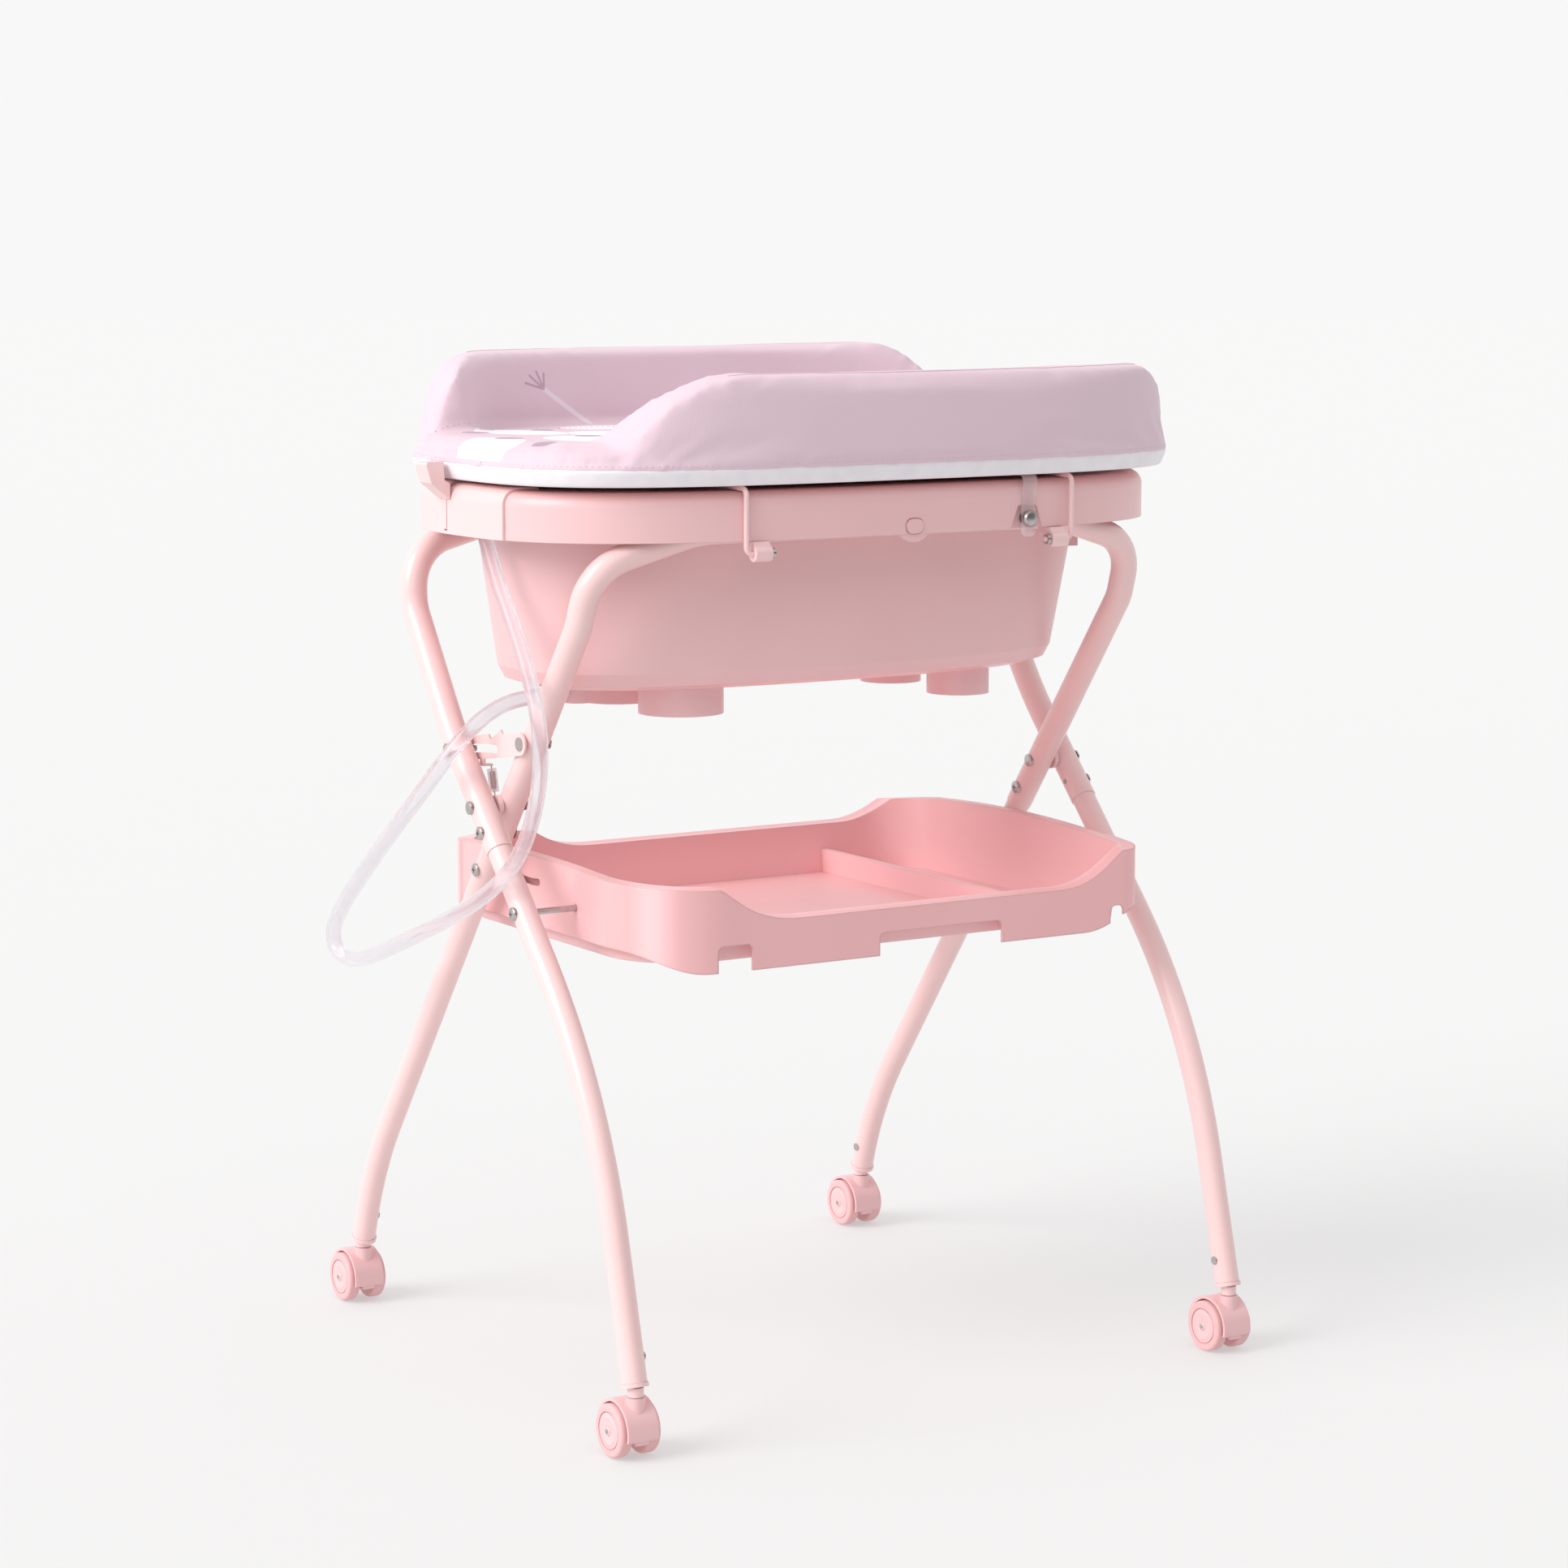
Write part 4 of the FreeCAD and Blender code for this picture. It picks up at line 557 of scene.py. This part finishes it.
bpy.ops.mesh.primitive_cylinder_add(vertices=6, radius=0.00045, depth=0.0028)
capsule = bpy.context.object
edit(capsule, lambda: bpy.ops.mesh.bevel(offset=0.00025, segments=1))
stitches = []
EDGE_RUN, STITCH_PITCH = 1.95, 0.0058
spots = outline_points(int(EDGE_RUN / STITCH_PITCH))[0]
for spot, following in zip(spots, spots[1:] + spots[:1]):
    inward = Vector((middle.x - spot.x, middle.y - spot.y, 0)).normalized()
    run = Vector((following.x - spot.x, following.y - spot.y, 0)).normalized()
    across = Vector((run.y, -run.x, 0))
    if across.dot(inward) < 0:
        across.negate()
    point, normal = on_cover(Vector((spot.x, spot.y, 0.8915)) - across * 0.03, across)
    if point is None:
        continue
    copy = bpy.data.objects.new("stitch", capsule.data.copy())
    turn = run.to_track_quat("Z", "Y").to_matrix().to_4x4()
    copy.data.transform(Matrix.Translation(point + normal * 0.0001) @ turn)
    scene.collection.objects.link(copy)
    stitches.append(copy)
select_only(*stitches)
bpy.ops.object.join()
stitch_row = finished(bpy.context.object, "stitch_row", thread, "changing_top", smooth=60)
print("stitches", len(stitches))


# %% The stitched joint of bed and rear wall
joint_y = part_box("pad_back_wall")[0].y
joint = []
for i in range(95):
    point, normal = on_cover(Vector((-0.335 + i * 0.0061, joint_y - 0.003, 1.05)), Vector((0, 0, -1)))
    if point is None or point.z > 0.94:
        continue
    copy = bpy.data.objects.new("bed_stitch", capsule.data.copy())
    lean = Vector((1, 0.9 if i % 2 else -0.9, 0)).normalized().to_track_quat("Z", "Y").to_matrix().to_4x4()
    copy.data.transform(Matrix.Translation(point + normal * 0.0002) @ lean @ Matrix.Diagonal((1.0, 1.0, 1.4, 1)))
    scene.collection.objects.link(copy)
    joint.append(copy)
select_only(*joint)
bpy.ops.object.join()
finished(bpy.context.object, "bed_stitches", thread, "changing_top", smooth=60)
bpy.data.objects.remove(capsule)
print("bed stitches", len(joint))


# %% Raised seams along the walls
def raised_line(name, points, thickness):
    """A thin sewn line through points on the cover."""
    curve = bpy.data.curves.new(name, "CURVE")
    curve.dimensions, curve.bevel_depth, curve.bevel_resolution = "3D", thickness, 2
    spline = curve.splines.new("POLY")
    spline.points.add(len(points) - 1)
    for handle, point in zip(spline.points, points):
        handle.co = (*point, 1.0)
    piece = bpy.data.objects.new(name, curve)
    scene.collection.objects.link(piece)
    select_only(piece)
    bpy.ops.object.convert(target="MESH")
    return finished(bpy.context.object, name, cover, "changing_top", smooth=60)


SEAMS = ((-1, "front_wall_seam", 0.972, -0.185, 0.3), (1, "rear_wall_seam", 0.984, -0.262, 0.225))
for side, name, top, left, right in SEAMS:
    line = []
    for spot in outline_points(400, 0.018)[0]:
        if (spot.y - middle.y) * side > 0.09 and left < spot.x < right:
            point, normal = on_cover(Vector((spot.x, spot.y, 1.05)), Vector((0, 0, -1)))
            if point is not None and point.z > top - 0.03:
                line.append(point)
    line.sort(key=lambda p: p.x)
    print(name, len(line), "points")
    raised_line(name, line, 0.0008)

# %% [markdown]
# ## Hose
# The drain hose is a fixed length of soft vinyl that leaves the elbow under the bath, passes out
# between the left legs, hangs in a loop and comes back up to its clip. It is one NURBS line through
# a few control points, so it bends as smoothly as a real hose.

# %% The drain hose
route = ((-0.255, -0.034, 0.664), (-0.290, -0.031, 0.663), (-0.324, -0.035, 0.654), (-0.353, -0.037, 0.634),
         (-0.374, -0.028, 0.606), (-0.388, -0.005, 0.572), (-0.396, 0.042, 0.530), (-0.400, 0.093, 0.486),
         (-0.401, 0.138, 0.449), (-0.400, 0.165, 0.420), (-0.398, 0.161, 0.397), (-0.394, 0.127, 0.393),
         (-0.388, 0.080, 0.409), (-0.381, 0.026, 0.431), (-0.374, -0.026, 0.453), (-0.367, -0.074, 0.476),
         (-0.360, -0.116, 0.502), (-0.352, -0.142, 0.532), (-0.344, -0.154, 0.570), (-0.338, -0.157, 0.616),
         (-0.335, -0.146, 0.660), (-0.335, -0.124, 0.702), (-0.337, -0.099, 0.744), (-0.339, -0.071, 0.784),
         (-0.341, -0.052, 0.826))
hose_line = bpy.data.curves.new("drain_hose_line", "CURVE")
hose_line.dimensions, hose_line.bevel_depth, hose_line.bevel_resolution = "3D", 0.0075, 6
hose_line.use_fill_caps, hose_line.resolution_u = True, 10
run = hose_line.splines.new("NURBS")
run.points.add(len(route) - 1)
for handle, point in zip(run.points, route):
    handle.co = (*point, 1.0)
run.order_u, run.use_endpoint_u = 3, True
hose = bpy.data.objects.new("drain_hose_vinyl", hose_line)
scene.collection.objects.link(hose)
hose_line.materials.append(hose_vinyl)
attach(hose, "bath")
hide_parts("drain_hose")
print("hose has", len(route), "control points")

# %% [markdown]
# ## Strap
# The strap is a clear vinyl strip sewn under the top. It comes over the rim, hangs a little askew
# and ends round below the stud. It starts as a plane, is cut into a grid, and its rows are moved
# onto the path that it hangs in.

# %% The vinyl strap
strap_low, strap_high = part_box("pad_strap")
front = strap_low.y
bpy.ops.mesh.primitive_grid_add(x_subdivisions=8, y_subdivisions=36, size=1)
strap = bpy.context.object
path = [(0.0035, front + 0.030, strap_high.z - 0.0007), (0.003, front + 0.012, strap_high.z - 0.0007),
        (0.0025, front + 0.003, strap_high.z - 0.0016), (0.002, front + 0.0004, strap_high.z - 0.008),
        (0.001, front + 0.0010, 0.850), (0.0, front + 0.0006, 0.840), (0.0, front + 0.0002, 0.830),
        (-0.0005, front + 0.0002, 0.820), (-0.001, front - 0.0004, 0.8125)]
reach = [0.0]
for a, b in zip(path, path[1:]):
    reach.append(reach[-1] + (Vector(b) - Vector(a)).length)
centre_x = (strap_low.x + strap_high.x) / 2
for vertex in strap.data.vertices:
    u, v = vertex.co.x, (vertex.co.y + 0.5) * reach[-1]
    k = max(i for i in range(len(path) - 1) if reach[i] <= v + 1e-9)
    share = (v - reach[k]) / (reach[k + 1] - reach[k])
    spot = Vector(path[k]).lerp(Vector(path[k + 1]), share)
    taper = min(1.0, (reach[-1] - v) / 0.005)
    width = 0.0085 * (0.55 + 0.45 * math.sqrt(max(0.0, 1 - (1 - taper) ** 2)))
    vertex.co = (centre_x + spot.x + u * 2 * width, spot.y, spot.z)
apply_modifier(strap, "SMOOTH", factor=0.5, iterations=2)
apply_modifier(strap, "SOLIDIFY", thickness=0.0009, offset=0.0)
apply_modifier(strap, "BEVEL", width=0.0002, segments=2)
finished(strap, "vinyl_strap", clear_vinyl, "changing_top", smooth=50)
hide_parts("pad_strap")

# %% [markdown]
# ## Turned metal
# Rivets, screws, the snap cap and the wheels' hub caps are round, so each is a half profile spun
# about its axis. One head is modelled for each kind and copied to every place where the CAD has a
# plain disc.

# %% A lathe
def turned(profile, steps=36):
    """Spins a half profile of (radius, height) about Z into a closed piece."""
    bpy.ops.mesh.primitive_plane_add(size=0.001)
    piece = bpy.context.object
    edit(piece, lambda: bpy.ops.mesh.merge(type="CENTER"))
    piece.data.vertices[0].co = (profile[0][0], 0, profile[0][1])
    select_only(piece)
    bpy.ops.object.mode_set(mode="EDIT")
    bpy.ops.mesh.select_all(action="SELECT")
    for (r0, h0), (r1, h1) in zip(profile, profile[1:]):
        bpy.ops.mesh.extrude_region_move(TRANSFORM_OT_translate={"value": (r1 - r0, 0, h1 - h0)})
    bpy.ops.mesh.select_all(action="SELECT")
    bpy.ops.mesh.spin(steps=steps, angle=2 * math.pi, center=(0, 0, 0), axis=(0, 0, 1))
    bpy.ops.mesh.select_all(action="SELECT")
    bpy.ops.mesh.remove_doubles(threshold=0.000002)
    bpy.ops.mesh.normals_make_consistent(inside=False)
    bpy.ops.object.mode_set(mode="OBJECT")
    return piece


def set_at(model, name, spot, facing, material, body):
    """A copy of a turned piece, standing at a spot and facing a direction."""
    copy = bpy.data.objects.new(name, model.data.copy())
    scene.collection.objects.link(copy)
    copy.data.transform(Matrix.Translation(spot) @ Vector(facing).to_track_quat("Z", "Y").to_matrix().to_4x4())
    return finished(copy, name, material, body)


rivet_head = turned([(0, 0.0017), (0.0025, 0.00155), (0.0048, 0.0009), (0.0061, 0.0002), (0.0063, -0.0004),
                     (0, -0.0004)])
screw_head = turned([(0, 0.0014), (0.003, 0.0013), (0.0052, 0.0008), (0.0062, 0.0001), (0.0063, -0.0004),
                     (0, -0.0004)])
bpy.ops.mesh.primitive_cube_add(size=1, scale=(0.006, 0.0011, 0.0024), location=(0, 0, 0.0012))
slot_cutter = bpy.context.object
bpy.ops.mesh.primitive_cube_add(size=1, scale=(0.0011, 0.006, 0.0024), location=(0, 0, 0.0012))
select_only(slot_cutter, bpy.context.object)
bpy.ops.object.join()
edit(slot_cutter, lambda: bpy.ops.mesh.bevel(offset=0.0002, segments=2))
apply_modifier(screw_head, "BOOLEAN", object=slot_cutter, operation="DIFFERENCE", solver="EXACT", use_self=True)
bpy.data.objects.remove(slot_cutter)
print("screw head faces", len(screw_head.data.polygons))

# %% Heads where the CAD has discs
heads = (("pivot_rivets", rivet_head, "inner_frame", "outside"),
         ("inner_joint_screws", screw_head, "inner_frame", "inside"),
         ("pivot_rivets", rivet_head, "inner_frame", "inside"),
         ("outer_joint_screws", screw_head, "outer_frame", "outside"),
         ("tray_pins", screw_head, "outer_frame", "outside"),
         ("tray_rest_pins", screw_head, "inner_frame", "outside"))
INSIDE_FACE = 0.2924
for node, model, body, where in heads:
    low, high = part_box(node)
    for side in (-1, 1):
        reach_x = (high.x if where == "outside" else INSIDE_FACE)
        way = side if where == "outside" else -side
        spot = Vector((side * reach_x, (low.y + high.y) / 2, (low.z + high.z) / 2))
        name = "%s_%s_%s" % (node, where, "left" if side < 0 else "right")
        set_at(model, name, spot, (way, 0, 0), steel, body)
cap_low, cap_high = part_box("snap_cap")
cap = turned([(0, 0.0034), (0.003, 0.0032), (0.0060, 0.0024), (0.0073, 0.0008), (0.0076, -0.0002), (0.0066, -0.0002),
              (0.0064, 0.0006), (0, 0.0006)])
set_at(cap, "snap_dome", Vector(((cap_low.x + cap_high.x) / 2, cap_low.y, (cap_low.z + cap_high.z) / 2)), (0, -1, 0),
       steel, "changing_top")

# %% Hub caps in the wheels
axle_head = turned([(0, 0.0009), (0.0014, 0.0008), (0.0024, 0.0003), (0.0026, -0.0004), (0, -0.0004)], 24)
hub = turned([(0, 0.0022), (0.0022, 0.0021), (0.0040, 0.0012), (0.0044, 0.0006), (0.0100, 0.0006), (0.0112, 0.0011),
              (0.0128, 0.0011), (0.0138, 0.0004), (0.0166, 0.0003), (0.0170, -0.0004), (0.0062, -0.0004),
              (0.0058, 0.0003), (0, 0.0003)], 48)
HUB_SUNK, AXLE_PROUD = 0.0006, 0.0021
for corner in ("front_left", "front_right", "rear_left", "rear_right"):
    for side, way in (("left", -1), ("right", 1)):
        place = "%s_%s" % (corner, side)
        low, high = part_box("castor_wheel_" + place)
        face = Vector((low.x if way < 0 else high.x, (low.y + high.y) / 2, (low.z + high.z) / 2))
        spot = face - Vector((way * HUB_SUNK, 0, 0))
        set_at(hub, "hub_cap_" + place, spot, (way, 0, 0), moulded, "wheel_" + place)
        axle_spot = spot + Vector((way * AXLE_PROUD, 0, 0))
        set_at(axle_head, "axle_head_" + place, axle_spot, (way, 0, 0), steel, "wheel_" + place)
for model in (rivet_head, screw_head, cap, hub, axle_head):
    bpy.data.objects.remove(model)

# %% [markdown]
# ## Floor, light and camera
# The floor and the surrounding light are the same pale grey, so no horizon shows. The floor glows
# a little, like paper lit from below, which keeps its shadows faint. A broad, soft sun from the
# left models the tubes, and a dark card behind the camera keeps the front in gentle shade.

# %% The studio
bpy.ops.mesh.primitive_circle_add(vertices=64, radius=40, fill_type="NGON", location=(0, 0, -0.0006))
floor = bpy.context.object
floor.name = "studio_floor"
FLOOR_GLOW = 0.421
floor_finish = Finish("floor_paper", Specular_IOR_Level=0.0, Emission_Color=(1, 1, 1, 1),
                      Emission_Strength=FLOOR_GLOW)
grain = floor_finish.noise(3.0)
floor_finish.set(Base_Color=floor_finish.mix(grain, (0.398, 0.398, 0.398, 1), (0.402, 0.402, 0.402, 1)),
                 Roughness=0.9 + grain * 0.05)
floor.data.materials.append(floor_finish.material)
bpy.ops.mesh.primitive_plane_add(size=1, location=(2.2, -5.2, 1.9))
card = bpy.context.object
card.name = "shade_card"
card.scale, card.rotation_euler = (9.0, 3.6, 1), (math.radians(90), 0, math.radians(14))
card_finish = Finish("card_paper", Roughness=0.9)
card_grain = card_finish.noise(2.0)
card_finish.set(Base_Color=card_finish.mix(card_grain, (0.1, 0.1, 0.1, 1), (0.12, 0.12, 0.12, 1)))
card.data.materials.append(card_finish.material)
world = bpy.data.worlds.new("studio_light")
world.use_nodes = True
SURROUND = 0.939
world.node_tree.nodes["Background"].inputs["Color"].default_value = (SURROUND, SURROUND, SURROUND, 1)
scene.world = world
sun = bpy.data.lights.new("soft_sun", "SUN")
sun.energy, sun.angle, sun.color = 2.0, math.radians(38), (1.0, 0.985, 0.97)
sun_holder = bpy.data.objects.new("soft_sun", sun)
sun_holder.rotation_euler = Vector((0.88, -0.02, -0.62)).to_track_quat("-Z", "Y").to_euler()
scene.collection.objects.link(sun_holder)
scene.view_settings.view_transform = "Standard"

# %% The camera
camera = bpy.data.cameras.new("camera")
camera.sensor_width, camera.lens, camera.clip_end = 36, 94.88, 200
viewer = bpy.data.objects.new("camera", camera)
viewer.location = (-2.1339, -3.4848, 1.1244)
viewer.rotation_euler = (math.radians(82.06), 0, math.radians(-31.74))
scene.collection.objects.link(viewer)
scene.camera = viewer
